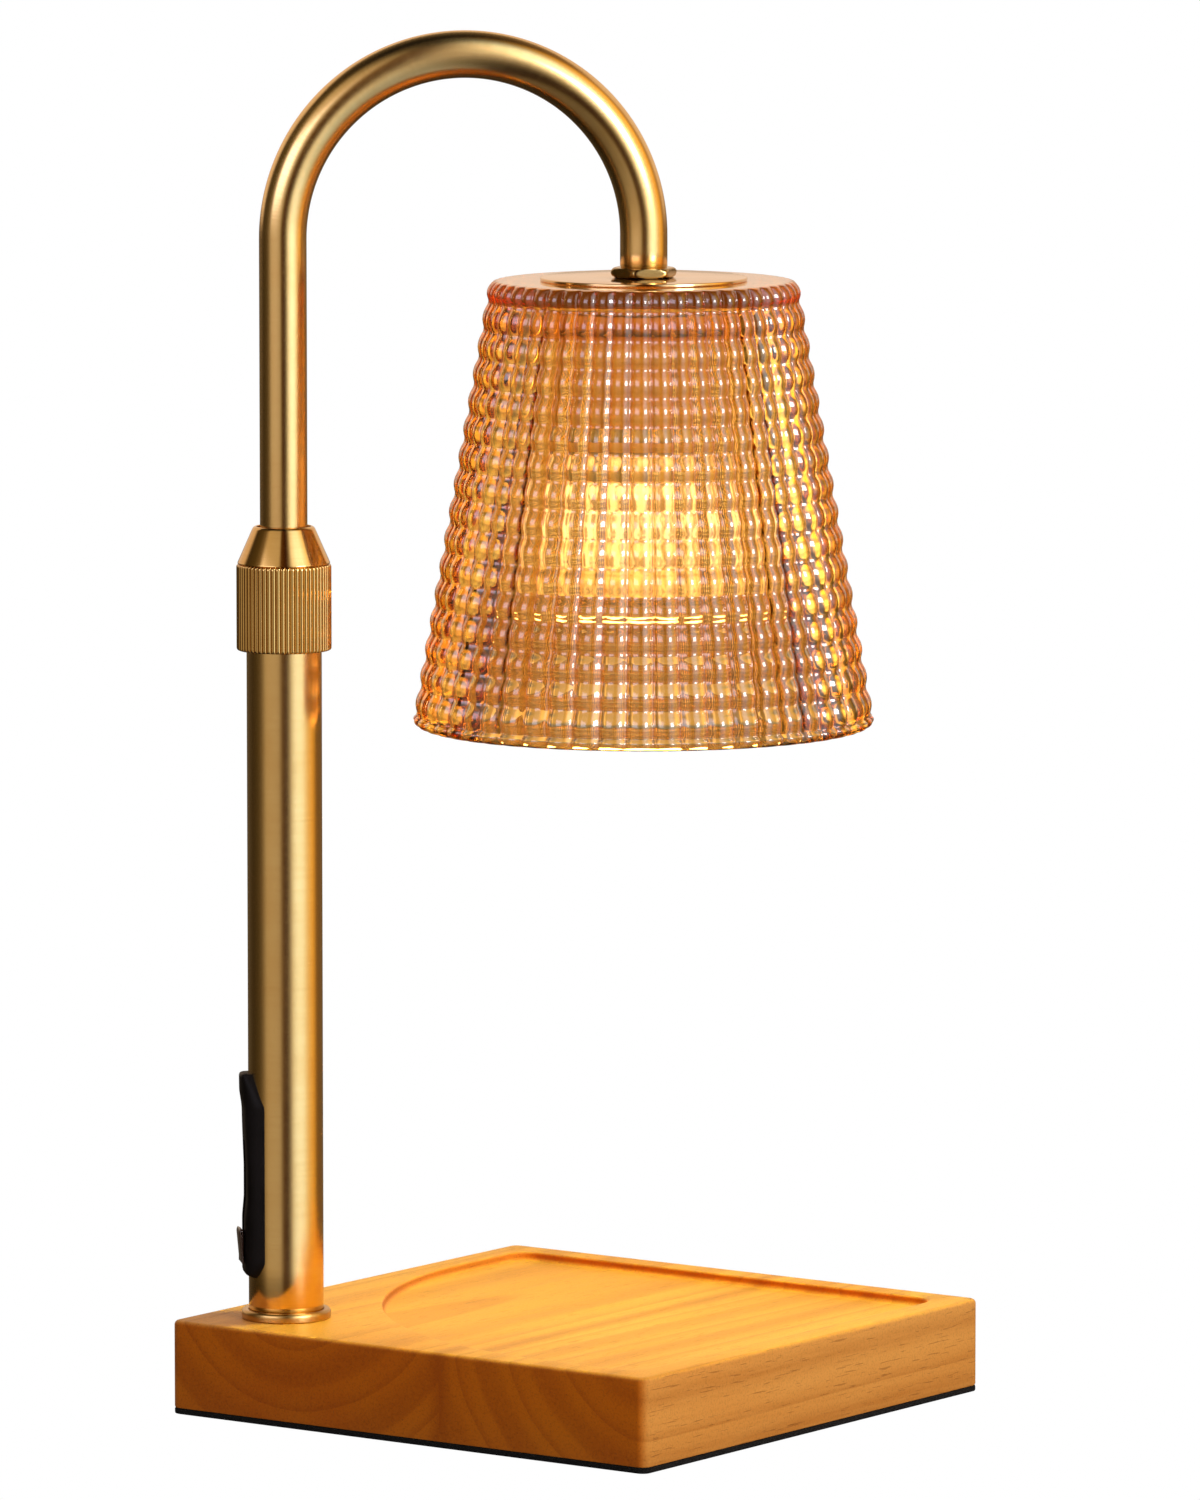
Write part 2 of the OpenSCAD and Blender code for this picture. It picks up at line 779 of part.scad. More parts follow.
module holder_cup() {
    r = cup_d / 2;
    color("goldenrod") at_shade() lathe([
        [nipple_d / 2 + 0.15, cup_top], [r - 1.5, cup_top], [r, cup_top - 1.5], [r, cup_bottom],
        [r - cup_wall, cup_bottom], [r - cup_wall, cup_top - 1.8], [r - 1.8, cup_top - cup_wall],
        [nipple_d / 2 + 0.15, cup_top - cup_wall]
    ]);
}

// Bent steel strap: a bridge on the nipple and two feet on the ceramic
module holder_bracket() {
    color("silver") at_shade() difference() {
        union() {
            translate([-bracket_w / 2, -bracket_foot_x, bracket_z])
                cube([bracket_w, 2 * bracket_foot_x, bracket_t]);
            for (s = [-1, 1]) {
                translate([-bracket_w / 2, s * (bracket_foot_x - bracket_t / 2) - bracket_t / 2, holder_top])
                    cube([bracket_w, bracket_t, bracket_z + bracket_t - holder_top]);
                translate([-bracket_w / 2, min(s * bracket_tab_x, s * bracket_foot_x), holder_top])
                    cube([bracket_w, bracket_foot_x - bracket_tab_x, bracket_t]);
            }
        }
        translate([0, 0, bracket_z - cut]) cylinder(r = nipple_d / 2 + 0.15, h = bracket_t + 2 * cut);
        for (s = [-1, 1]) translate([0, s * bracket_screw_x, holder_top - cut])
            cylinder(r = bracket_screw_r + 0.2, h = bracket_t + 2 * cut);
    }
}

module bracket_screws() {
    color("silver") at_shade() for (s = [-1, 1]) translate([0, s * bracket_screw_x, 0]) {
        translate([0, 0, holder_top - bracket_screw_len])
            cylinder(r = bracket_screw_r, h = bracket_screw_len + bracket_t);
        translate([0, 0, holder_top + bracket_t]) cylinder(r = screw_head_r, h = screw_head_h);
    }
}

// Curved slot that follows a pin through the twist
module key_path(r, z_low, z_high) {
    translate([0, 0, z_low]) linear_extrude(z_high - z_low) {
        intersection() {
            difference() {
                circle(pin_spacing / 2 + r);
                circle(pin_spacing / 2 - r);
            }
            polygon([
                [0, 0], [20, 0], [20 * cos(twist / 2), -20 * sin(twist / 2)],
                [20 * cos(twist), -20 * sin(twist)]
            ]);
        }
        for (a = [0, -twist]) rotate(a) translate([pin_spacing / 2, 0]) circle(r);
    }
}

// Ceramic body with two keyhole slots: round way in at the twist's end, narrow where it locks
module lampholder() {
    color("ivory") at_shade() difference() {
        translate([0, 0, holder_z]) cylinder(d = holder_d, h = holder_h);
        for (half_turn = [0, 180]) rotate([0, 0, half_turn]) {
            key_path(pin_r + key_clear, holder_z - cut, holder_z + key_plate_t + 0.1);
            key_path(pin_head_r + key_clear, holder_z + key_plate_t, holder_z + slot_depth);
            rotate([0, 0, -twist]) translate([pin_spacing / 2, 0, holder_z - cut])
                cylinder(r = pin_head_r + key_clear, h = key_plate_t + 2 * cut);
        }
        for (s = [-1, 1]) translate([0, s * bracket_screw_x, holder_top - 6.4])
            cylinder(r = 1.5 + thread_fit, h = 7);
    }
}

// Brass plates at the top of the two slots, which the pins touch
module lamp_contacts() {
    color("gold") at_shade() for (half_turn = [0, 180]) rotate([0, 0, half_turn])
        key_path(pin_head_r, holder_z + slot_depth - contact_t, holder_z + slot_depth);
}

// ---- bulb ----------------------------------------------------------------

// Depth profile of the reflector: radius at a height above the rim, as part of a parabola
function bowl_r(h) = bulb_neck_r + (bulb_d / 2 - rim_step - bulb_neck_r)
    * sqrt(max(0, 1 - h / (bulb_neck_z - bulb_face - bulb_rim_h)));

module bulb_reflector() {
    bowl_z = bulb_face + bulb_rim_h;
    bowl_h = bulb_neck_z - bowl_z;
    steps = 8;
    color("silver") at_shade() lathe(concat(
        [[bulb_d / 2, bulb_face], [bulb_d / 2, bowl_z]],
        [for (i = [0:steps]) [bowl_r(bowl_h * i / steps), bowl_z + bowl_h * i / steps]],
        [for (i = [steps:-1:0]) [bowl_r(bowl_h * i / steps) - bulb_wall, bowl_z + bowl_h * i / steps]],
        [[lens_seat_r, bulb_face]]
    ));
}

module bulb_lens() {
    color("lightyellow", 0.7) at_shade() translate([0, 0, bulb_face + 0.4])
        cylinder(r = lens_seat_r - thread_fit, h = lens_t);
}

module bulb_cap() {
    color("ivory") at_shade() lathe([
        [socket_r, bulb_neck_z], [bulb_neck_r, bulb_neck_z], [cap_r, bulb_neck_z + cap_chamfer],
        [cap_r, bulb_root - cap_chamfer], [cap_r - cap_chamfer, bulb_root], [0, bulb_root],
        [0, bulb_neck_z + socket_depth], [socket_r, bulb_neck_z + socket_depth]
    ]);
}

module bulb_pins() {
    color("silver") at_shade() for (s = [-1, 1]) translate([s * pin_spacing / 2, 0, bulb_root]) {
        cylinder(r = pin_r, h = pin_len);
        translate([0, 0, pin_len - pin_head_h]) cylinder(r = pin_head_r, h = pin_head_h);
    }
}

module bulb_capsule() {
    foot = bulb_neck_z + socket_depth;
    tip = foot - capsule_len;
    color("lightyellow", 0.6) at_shade() lathe([
        [0, foot], [0.8 * capsule_r, foot], [0.8 * capsule_r, foot - socket_depth - 2],
        [capsule_r, foot - socket_depth - 4], [capsule_r, tip + 4], [0.6 * capsule_r, tip + 1],
        [0, tip]
    ]);
}

base_block();
base_pad();
cord_grommet();
column_flange();
foot_plug();
foot_nipple();
foot_washer();
foot_nut();
column_tube();
column_collar();
split_collet();
switch_housing();
dimmer_board();
slide_resistor();
board_screws();
dimmer_tab();
lock_nut();
guide_bush();
arm_tube();
arm_stop_ring();
retaining_clip();
arm_lead();
collar_nut();
shade_plate();
glass_shade();
shade_gasket();
pressure_plate();
shade_nipple();
m10_nuts();
holder_cup();
holder_bracket();
bracket_screws();
lampholder();
lamp_contacts();
bulb_reflector();
bulb_lens();
bulb_cap();
bulb_pins();
bulb_capsule();
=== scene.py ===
"""Candle warmer lamp: a beaded amber glass bell with a halogen reflector bulb, hung from a hooked
brass arm that slides in a brass column on a wooden base with a shallow tray. The sections follow
the lamp as it is put together, from the base up to the bulb."""
import math

import bmesh
import bpy
import numpy as np
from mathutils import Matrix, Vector
from mathutils.geometry import delaunay_2d_cdt


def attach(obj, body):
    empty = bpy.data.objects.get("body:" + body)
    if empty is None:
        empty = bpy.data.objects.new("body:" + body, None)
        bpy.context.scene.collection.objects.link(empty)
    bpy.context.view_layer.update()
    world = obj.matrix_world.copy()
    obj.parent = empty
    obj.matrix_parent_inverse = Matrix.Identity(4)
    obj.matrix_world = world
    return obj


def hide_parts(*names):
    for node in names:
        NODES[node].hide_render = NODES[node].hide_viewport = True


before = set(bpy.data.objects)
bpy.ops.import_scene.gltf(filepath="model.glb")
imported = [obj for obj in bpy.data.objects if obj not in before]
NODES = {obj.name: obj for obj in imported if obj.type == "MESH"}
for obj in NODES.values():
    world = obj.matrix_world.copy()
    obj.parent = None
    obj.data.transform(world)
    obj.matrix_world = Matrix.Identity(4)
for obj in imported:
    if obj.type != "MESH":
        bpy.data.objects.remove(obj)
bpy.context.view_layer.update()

MM = 0.001


# ---- camera ------------------------------------------------------------------------------------
# A long lens 2.8 m away and a little above the lamp, which looks down at it by under 7 degrees.

VIEW_AZIMUTH = math.radians(35.73)
VIEW_PITCH = math.radians(6.666)
VIEW_DISTANCE = 2.792
VIEW_LENS = 264.0
RIGHT = np.array([math.cos(VIEW_AZIMUTH), math.sin(VIEW_AZIMUTH), 0.0])
TOWARDS_VIEW = np.array([math.sin(VIEW_AZIMUTH), -math.cos(VIEW_AZIMUTH), 0.0])

view_target = RIGHT * 5.77 * MM + np.array([0.0, 0.0, 167.7 * MM])
view_back = TOWARDS_VIEW * math.cos(VIEW_PITCH) + np.array([0.0, 0.0, math.sin(VIEW_PITCH)])
camera = bpy.data.objects.new("camera", bpy.data.cameras.new("camera"))
bpy.context.scene.collection.objects.link(camera)
camera.data.sensor_width = 36.0
camera.data.lens = VIEW_LENS
camera.data.clip_start = 0.1
camera.data.clip_end = 50.0
camera.location = view_target + view_back * VIEW_DISTANCE
camera.rotation_mode = "QUATERNION"
camera.rotation_quaternion = Vector(-view_back).to_track_quat("-Z", "Y")
bpy.context.scene.camera = camera
bpy.context.scene.view_settings.view_transform = "Standard"


# ---- studio ------------------------------------------------------------------------------------
# A small pale table under a white surround, with a softbox in front at the right and a weaker one
# behind at the left. Brass and glass also mirror cards and dark flags that nothing else is lit by,
# and those draw the bands that run along the tubes.

WORLD_LEVEL = 0.30
# Softboxes: bearing from the camera, height, distance and size in metres, and level
KEY_LIGHT = (math.radians(46), math.radians(18), 1.8, 1.1, 0.80)
BACK_LIGHT = (math.radians(-150), math.radians(35), 1.8, 1.2, 0.25)
LIGHT_COLOUR = (1.0, 0.98, 0.95)
# Radius in metres, and height in millimetres, just clear of the pad
TABLE_R = 0.33
TABLE_Z = -0.05
TABLE_COLUMNS = 128
# Bearing from the camera in degrees, anticlockwise seen from above, and what the metal mirrors there
# The warm stops at 76 and 96 degrees are a painted reflection of the lamp's glow on the shade and the wood
STUDIO_BEARINGS = [
    (-180, (0.16, 0.13, 0.09)), (-112, (0.045, 0.03, 0.012)), (-84, (0.08, 0.055, 0.02)),
    (-70, (0.18, 0.13, 0.07)), (-57, (0.56, 0.45, 0.30)), (-13, (0.56, 0.47, 0.34)),
    (-7, (0.10, 0.04, 0.005)), (9, (0.03, 0.005, 0.0)), (17, (0.22, 0.17, 0.12)),
    (26, (1.10, 1.08, 1.0)), (40, (1.40, 1.56, 1.70)), (57, (1.38, 1.54, 1.60)),
    (76, (1.08, 0.82, 0.38)), (96, (1.10, 0.60, 0.10)), (114, (0.22, 0.12, 0.04)),
    (180, (0.16, 0.13, 0.09)),
]
# Height above the horizon in degrees, and how bright the surround is there
STUDIO_HEIGHTS = [
    (-90, 0.25), (-50, 0.28), (-36, 0.32), (-20, 0.55), (-6, 1.0), (12, 1.25), (28, 1.35),
    (40, 1.3), (50, 1.0), (60, 0.5), (70, 0.14), (90, 0.03),
]
# Mirrored cards: bearing, height, half width, half height, soft edges sideways and upwards, all in
# degrees, and colour. The backdrop stands right behind, so it has no bearing.
KEY_CARD = (47, 16, 10, 9, 2, 2, (16.0, 16.0, 16.0))
FILL_CARD = (-42, 18, 20, 12, 6, 6, (2.7, 2.6, 3.1))
BACKDROP_CARD = (20, 62, 20, 8, 3)
BACKDROP = (0.93, 0.70, 0.52)
# What is seen through the glass, by share of the height from straight down to straight up, and by
# share of the turn from behind the lamp, through its left, front and right
THROUGH_HEIGHTS = [
    (0.0, 0.5), (0.40, 0.55), (0.415, (1.45, 1.0, 0.45)), (0.455, (1.45, 1.0, 0.45)), (0.47, 0.5),
    (0.495, 0.5), (0.51, 1.25), (0.56, 1.25), (0.575, 0.65), (0.62, 1.0), (0.72, 0.6), (1.0, 0.5),
]
THROUGH_BEARINGS = [
    (0.0, 0.55), (0.035, 0.6), (0.055, 1.15), (0.12, 1.2), (0.14, 0.7), (0.16, 1.2), (0.20, 0.35),
    (0.27, 0.35), (0.31, 1.0), (0.69, 1.0), (0.73, 0.3), (0.80, 0.2), (0.82, 2.6), (0.85, 2.6),
    (0.86, 0.12), (0.885, 0.12), (0.895, 2.0), (0.92, 1.6), (0.93, 0.25), (0.945, 0.3), (0.955, 1.1),
    (0.965, 0.6), (1.0, 0.55),
]
FLOOR_GLOW = 0.42


def wire(tree, node, inputs):
    """Gives a node's inputs, by name or number, their values or the sockets that feed them."""
    for key, value in inputs.items():
        if isinstance(value, bpy.types.NodeSocket):
            tree.links.new(value, node.inputs[key])
        else:
            node.inputs[key].default_value = value
    return node


def add(tree, kind, inputs=None, **settings):
    """A new shader node of that kind, with its settings and inputs."""
    made = tree.nodes.new("ShaderNode" + kind)
    for key, value in settings.items():
        setattr(made, key, value)
    return wire(tree, made, inputs or {})


def maths(tree, operation, a, b=0.0, c=None, clamp=False):
    """The result of one Math node."""
    values = {0: a, 1: b} if c is None else {0: a, 1: b, 2: c}
    return add(tree, "Math", values, operation=operation, use_clamp=clamp).outputs[0]


def times(tree, a, b):
    """Product of two values."""
    return maths(tree, "MULTIPLY", a, b)


def axes_of(tree, vector):
    """A vector's X, Y and Z."""
    return add(tree, "SeparateXYZ", {0: vector}).outputs


def place_on(tree, kind="Object"):
    """Coordinates of that kind."""
    return add(tree, "TexCoord").outputs[kind]


def ramp(tree, value, stops, interpolation="LINEAR"):
    """The colour of a ramp whose stops are given as position and colour or grey level."""
    made = add(tree, "ValToRGB", {0: value})
    colours = made.color_ramp
    colours.interpolation = interpolation
    while len(colours.elements) < len(stops):
        colours.elements.new(0.5)
    for element, (position, colour) in zip(colours.elements, stops):
        element.position = position
        element.color = (colour,) * 3 + (1,) if isinstance(colour, (int, float)) else (*colour, 1)
    return made.outputs["Color"]


def mix_colour(tree, factor, a, b, blend="MIX"):
    """Two colours mixed by a factor."""
    a, b = (c if isinstance(c, bpy.types.NodeSocket) else (*c, 1) for c in (a, b))
    made = add(tree, "Mix", {"Factor": factor, 6: a, 7: b}, data_type="RGBA", blend_type=blend)
    return made.outputs[2]


def tint(tree, a, b):
    """One colour multiplied by another."""
    return mix_colour(tree, 1.0, a, b, "MULTIPLY")


world = bpy.data.worlds.new("studio")
bpy.context.scene.world = world
world.use_nodes = True
tree = world.node_tree
tree.nodes.clear()
ray = add(tree, "LightPath").outputs
direction = place_on(tree, "Generated")
forward, sideways = (
    add(tree, "VectorMath", {0: direction, 1: tuple(axis)}, operation="DOT_PRODUCT").outputs["Value"]
    for axis in (TOWARDS_VIEW, RIGHT))
bearing = maths(tree, "MULTIPLY_ADD", maths(tree, "ARCTAN2", sideways, forward), 0.5 / math.pi, 0.5)
rise = maths(tree, "MULTIPLY_ADD", maths(tree, "ARCSINE", axes_of(tree, direction)["Z"]), 1 / math.pi, 0.5)
around = ramp(tree, bearing, [(0.5 + b / 360, c) for b, c in STUDIO_BEARINGS])
upwards = ramp(tree, rise, [(0.5 + b / 180, c) for b, c in STUDIO_HEIGHTS])
surround = tint(tree, around, upwards)


def window(tree, value, middle, half, soft):
    """1 where the value lies within half of the middle, falling to 0 over soft."""
    away = maths(tree, "ABSOLUTE", maths(tree, "SUBTRACT", value, middle))
    made = add(tree, "MapRange", {0: away, 1: half - soft, 2: half + soft, 3: 1.0, 4: 0.0})
    made.interpolation_type = "SMOOTHSTEP"
    return made.outputs[0]


def card(tree, turn, lift, half_width, half_height, soft_sideways, soft_upwards):
    """1 on a card that stands at that bearing and height, given in degrees."""
    return times(tree, window(tree, bearing, 0.5 + turn / 360, half_width / 360, soft_sideways / 360),
                 window(tree, rise, 0.5 + lift / 180, half_height / 180, soft_upwards / 180))


for *where, colour in (KEY_CARD, FILL_CARD):
    surround = mix_colour(tree, card(tree, *where), surround, colour)
behind = [card(tree, turn, *BACKDROP_CARD) for turn in (-180, 180)]
surround = mix_colour(tree, maths(tree, "MAXIMUM", *behind), surround, BACKDROP)
through = tint(tree, ramp(tree, rise, THROUGH_HEIGHTS), ramp(tree, bearing, THROUGH_BEARINGS))
white = (1.0, 1.0, 1.0, 1.0)
plain, mirrored, seen_through, backing = (
    add(tree, "Background", {"Color": colour, "Strength": strength}).outputs[0]
    for colour, strength in ((white, WORLD_LEVEL), (surround, 1.0), (through, 1.0), (white, 1.0)))
lit = plain
for kind, shader in (("Glossy", mirrored), ("Transmission", seen_through), ("Camera", backing)):
    lit = add(tree, "MixShader", {0: ray[f"Is {kind} Ray"], 1: lit, 2: shader}).outputs[0]
add(tree, "OutputWorld", {"Surface": lit})


def area_light(name, shape, size, energy, colour):
    """Area light, kept out of sight, of mirrors and of glass, which have their own surround."""
    data = bpy.data.lights.new(name, "AREA")
    data.shape = shape
    data.size = size
    data.energy = energy
    data.color = colour
    made = bpy.data.objects.new(name, data)
    bpy.context.scene.collection.objects.link(made)
    made.visible_camera = False
    made.visible_glossy = False
    made.visible_transmission = False
    return made


def softbox(name, turn, lift, distance, size, level):
    """Area light that faces the object. Level is what a white face turned to it receives."""
    made = area_light(name, "SQUARE", size, level * (math.pi * distance) ** 2, LIGHT_COLOUR)
    level_way = TOWARDS_VIEW * math.cos(turn) + RIGHT * math.sin(turn)
    way = level_way * math.cos(lift) + np.array([0, 0, math.sin(lift)])
    made.location = way * distance + np.array([0, 0, 0.12])
    made.rotation_mode = "QUATERNION"
    made.rotation_quaternion = Vector(way).to_track_quat("Z", "Y")


softbox("key_light", *KEY_LIGHT)
softbox("back_light", *BACK_LIGHT)


def object_from(name, verts, faces, finish=None, smooth=True):
    """Mesh object whose vertices are given in millimetres, in the lamp's frame."""
    mesh = bpy.data.meshes.new(name)
    mesh.from_pydata((np.asarray(verts) * MM).tolist(), [], [list(f) for f in faces])
    mesh.polygons.foreach_set("use_smooth", np.full(len(mesh.polygons), smooth))
    made = bpy.data.objects.new(name, mesh)
    bpy.context.scene.collection.objects.link(made)
    if finish:
        mesh.materials.append(finish)
    return made


def grid_faces(rows, columns, wrap_rows=False, wrap_columns=True):
    """Quads between neighbours on a grid of rows by columns, numbered row by row."""
    r = np.arange(rows if wrap_rows else rows - 1)
    c = np.arange(columns if wrap_columns else columns - 1)
    r, c = (a.ravel() for a in np.meshgrid(r, c, indexing="ij"))
    down, along = (r + 1) % rows, (c + 1) % columns
    return np.stack([r * columns + c, r * columns + along, down * columns + along, down * columns + c], 1)


angle = np.linspace(0, 2 * math.pi, TABLE_COLUMNS, endpoint=False)
table_rows = np.stack([
    np.stack([r * np.cos(angle) / MM, r * np.sin(angle) / MM, np.full(TABLE_COLUMNS, TABLE_Z)], 1)
    for r in (0.001, 0.1, 0.2, TABLE_R)
])
table_faces = grid_faces(len(table_rows), TABLE_COLUMNS)
floor = object_from("floor", table_rows.reshape(-1, 3), table_faces, smooth=False)
floor_material = bpy.data.materials.new("floor_white")
floor_material.use_nodes = True
tree = floor_material.node_tree
tree.nodes.clear()
ray = add(tree, "LightPath").outputs
seen = maths(tree, "MAXIMUM", ray["Is Camera Ray"], ray["Is Transmission Ray"])
seen = maths(tree, "MAXIMUM", seen, ray["Is Glossy Ray"])
paper = add(tree, "BsdfDiffuse", {"Color": (0.82, 0.82, 0.82, 1)})
glow = add(tree, "Emission", {"Color": (1, 1, 1, 1), "Strength": times(tree, seen, FLOOR_GLOW)})
lit = add(tree, "AddShader", {0: paper.outputs[0], 1: glow.outputs[0]})
clear = add(tree, "BsdfTransparent")
from_below = add(tree, "NewGeometry").outputs["Backfacing"]
lit = add(tree, "MixShader", {0: from_below, 1: lit.outputs[0], 2: clear.outputs[0]})
add(tree, "OutputMaterial", {"Surface": lit.outputs[0]})
floor.data.materials.append(floor_material)


# ---- wooden base -------------------------------------------------------------------------------
# A square block of oiled pine, 148 mm across. A router cuts the shallow tray into its top, and the
# edges are broken by hand. The fibres run along Y, so the growth rings show on the -Y side.

BASE_HALF = 74.0
PAD_T = 1.5
BASE_TOP = 24.0
CORNER_R = 2.6
EDGE_R = 1.2
TRAY_HALF = 66.0
TRAY_CORNER_R = 6.0
TRAY_COLUMN_R = 107.0
TRAY_FLOOR = 21.8
TRAY_LIP_R = 0.8
TRAY_COVE_R = 1.4
COLUMN_XY = -53.0
BORE_R = 5.2
COUNTERBORE_R = 13.0
COUNTERBORE_TOP = 9.5
INLET_Z = 7.0
INLET_R = 3.64
INLET_RIM_R = 5.04
INLET_RIM_DEPTH = 1.22


def rounded_square(half, radii, arc_steps=14, side_steps=10):
    """Outline of a square with round corners, and its outward normals. The corners start at -X -Y
    and go round anticlockwise; each is a quarter circle that touches both sides."""
    points, normals = [], []
    signs = [(-1, -1), (1, -1), (1, 1), (-1, 1)]
    for k, ((sx, sy), r) in enumerate(zip(signs, radii)):
        a = np.linspace(0, math.pi / 2, arc_steps) + math.pi * (1 + k / 2)
        n = np.stack([np.cos(a), np.sin(a)], 1)
        arc = np.array([sx * (half - r), sy * (half - r)]) + r * n
        (tx, ty), tr = signs[(k + 1) % 4], radii[(k + 1) % 4]
        side = n[-1]
        start = np.array([tx * (half - tr), ty * (half - tr)]) + tr * side
        t = np.linspace(0, 1, side_steps + 2)[1:-1, None]
        points += [arc, arc[-1] * (1 - t) + start * t]
        normals += [n, np.repeat(side[None], side_steps, 0)]
    return np.concatenate(points), np.concatenate(normals)


def level_loop(outline, offset, z):
    """The outline moved outwards by offset, at height z."""
    points, normals = outline
    flat = points + normals * offset
    return np.column_stack([flat, np.full(len(flat), z)])


def bore_loop(r, z, count=48):
    """Circle round the column's axis, in a level plane."""
    a = np.linspace(0, 2 * math.pi, count, endpoint=False)
    return np.column_stack([COLUMN_XY + r * np.cos(a), COLUMN_XY + r * np.sin(a), np.full(count, z)])


def inside(loop, points):
    """Which points lie inside a closed loop, by counting the edges that a ray crosses."""
    a, b = loop, np.roll(loop, -1, 0)
    above_a, above_b = (q[None, :, 1] > points[:, None, 1] for q in (a, b))
    rise_y = np.where(b[:, 1] == a[:, 1], 1e-12, b[:, 1] - a[:, 1])
    cross = a[:, 0] + (points[:, None, 1] - a[:, 1]) * (b[:, 0] - a[:, 0]) / rise_y
    return ((above_a != above_b) & (cross > points[:, None, 0])).sum(1) % 2 == 1


def flat_fill(loops):
    """Triangles between the first loop and the holes given by the others, all in one level plane."""
    verts = np.concatenate(loops)
    starts = np.cumsum([0] + [len(loop) for loop in loops])
    rings = [list(range(a, b)) for a, b in zip(starts[:-1], starts[1:])]
    edges = [(ring[i], ring[(i + 1) % len(ring)]) for ring in rings for i in range(len(ring))]
    flat = [Vector(p[:2]) for p in verts]
    _, _, faces, source, _, _ = delaunay_2d_cdt(flat, edges, [], 2, 1e-7)
    tris = np.array([[source[i][0] for i in f] for f in faces])
    centres = verts[tris][:, :, :2].mean(1)
    keep = inside(loops[0][:, :2], centres)
    for loop in loops[1:]:
        keep &= ~inside(loop[:, :2], centres)
    return verts, tris[keep]


def band(loops):
    """Patch of quads through a list of closed loops with equal counts."""
    rows = np.stack(loops)
    return rows.reshape(-1, 3), grid_faces(len(loops), rows.shape[1])


def face_outwards(piece, fill=False):
    """Turns a closed mesh's faces outwards, after its open ends are filled where asked."""
    bm = bmesh.new()
    bm.from_mesh(piece.data)
    if fill:
        bmesh.ops.holes_fill(bm, edges=[e for e in bm.edges if e.is_boundary])
    bmesh.ops.recalc_face_normals(bm, faces=bm.faces)
    bm.to_mesh(piece.data)
    bm.free()


def welded(name, patches, finish=None, crease=35.0):
    """One closed mesh object from patches of vertices and faces that share their borders. Edges
    sharper than the crease angle stay sharp."""
    verts, faces, count = [], [], 0
    for v, f in patches:
        verts.append(np.asarray(v).reshape(-1, 3))
        faces += (np.asarray(f) + count).tolist()
        count += len(verts[-1])
    made = object_from(name, np.concatenate(verts), faces, finish)
    bm = bmesh.new()
    bm.from_mesh(made.data)
    bmesh.ops.remove_doubles(bm, verts=bm.verts, dist=2e-6)
    bmesh.ops.dissolve_degenerate(bm, edges=bm.edges, dist=1e-7)
    bm.to_mesh(made.data)
    bm.free()
    face_outwards(made)
    made.data.set_sharp_from_angle(angle=math.radians(crease))
    return made


base_line = rounded_square(BASE_HALF, [CORNER_R] * 4)
tray_line = rounded_square(TRAY_HALF, [TRAY_COLUMN_R] + [TRAY_CORNER_R] * 3, 28)
quarter = np.linspace(0, math.pi / 2, 7)
cove = [
    level_loop(tray_line, TRAY_COVE_R * (math.sin(t) - 1), TRAY_FLOOR + TRAY_COVE_R * (1 - math.cos(t)))
    for t in quarter
]
lip = [
    level_loop(tray_line, TRAY_LIP_R * (1 - math.cos(t)), BASE_TOP - TRAY_LIP_R * (1 - math.sin(t)))
    for t in quarter
]
top_edge = [
    level_loop(base_line, -EDGE_R * (1 - math.sin(t)), BASE_TOP - EDGE_R * (1 - math.cos(t)))
    for t in quarter
]
foot_edge = [level_loop(base_line, offset, z) for offset, z in (
    (0.0, PAD_T + 0.5), (-0.15, PAD_T + 0.15), (-0.5, PAD_T))]
bore_top, bore_foot = bore_loop(BORE_R, BASE_TOP), bore_loop(BORE_R, COUNTERBORE_TOP)
counter_top, counter_foot = bore_loop(COUNTERBORE_R, COUNTERBORE_TOP), bore_loop(COUNTERBORE_R, PAD_T)
wood_base = welded("wood_base", [
    flat_fill([cove[0]]), band(cove + lip), flat_fill([top_edge[0], lip[-1], bore_top]),
    band(top_edge + foot_edge), flat_fill([foot_edge[-1], counter_foot]),
    band([counter_foot, counter_top]), band([counter_top, bore_foot]), band([bore_foot, bore_top]),
])


def drill(piece, radius, x_from, x_to, count=48):
    """Drills a round hole along X into the block's side, at the cord inlet."""
    a = np.linspace(0, 2 * math.pi, count, endpoint=False)
    rings = [
        np.column_stack([np.full(count, x), COLUMN_XY + radius * np.cos(a), INLET_Z + radius * np.sin(a)])
        for x in (x_from, x_to)
    ]
    verts, faces = np.concatenate(rings), grid_faces(2, count).tolist()
    faces += [list(range(count - 1, -1, -1)), list(range(count, 2 * count))]
    tool = object_from("drill", verts, faces, smooth=False)
    face_outwards(tool)
    cutter = piece.modifiers.new("drill", "BOOLEAN")
    cutter.object = tool
    cutter.operation = "DIFFERENCE"
    cutter.solver = "EXACT"
    bpy.context.view_layer.update()
    graph = bpy.context.evaluated_depsgraph_get()
    cut_mesh = bpy.data.meshes.new_from_object(piece.evaluated_get(graph))
    piece.modifiers.clear()
    piece.data = cut_mesh
    bpy.data.objects.remove(tool)


drill(wood_base, INLET_RIM_R, -BASE_HALF - 2, -BASE_HALF + INLET_RIM_DEPTH)
drill(wood_base, INLET_R, -BASE_HALF - 2, COLUMN_XY - COUNTERBORE_R + 5)
wood_base.data.set_sharp_from_angle(angle=math.radians(35))


def material(name, **values):
    """New material with one Principled shader. Values are set on its sockets; an underscore in a
    name stands for a space."""
    made = bpy.data.materials.new(name)
    made.use_nodes = True
    shader = made.node_tree.nodes["Principled BSDF"]
    for key, value in values.items():
        socket = shader.inputs[key.replace("_", " ")]
        socket.default_value = (*value, 1) if socket.type == "RGBA" else value
    return made, made.node_tree, shader


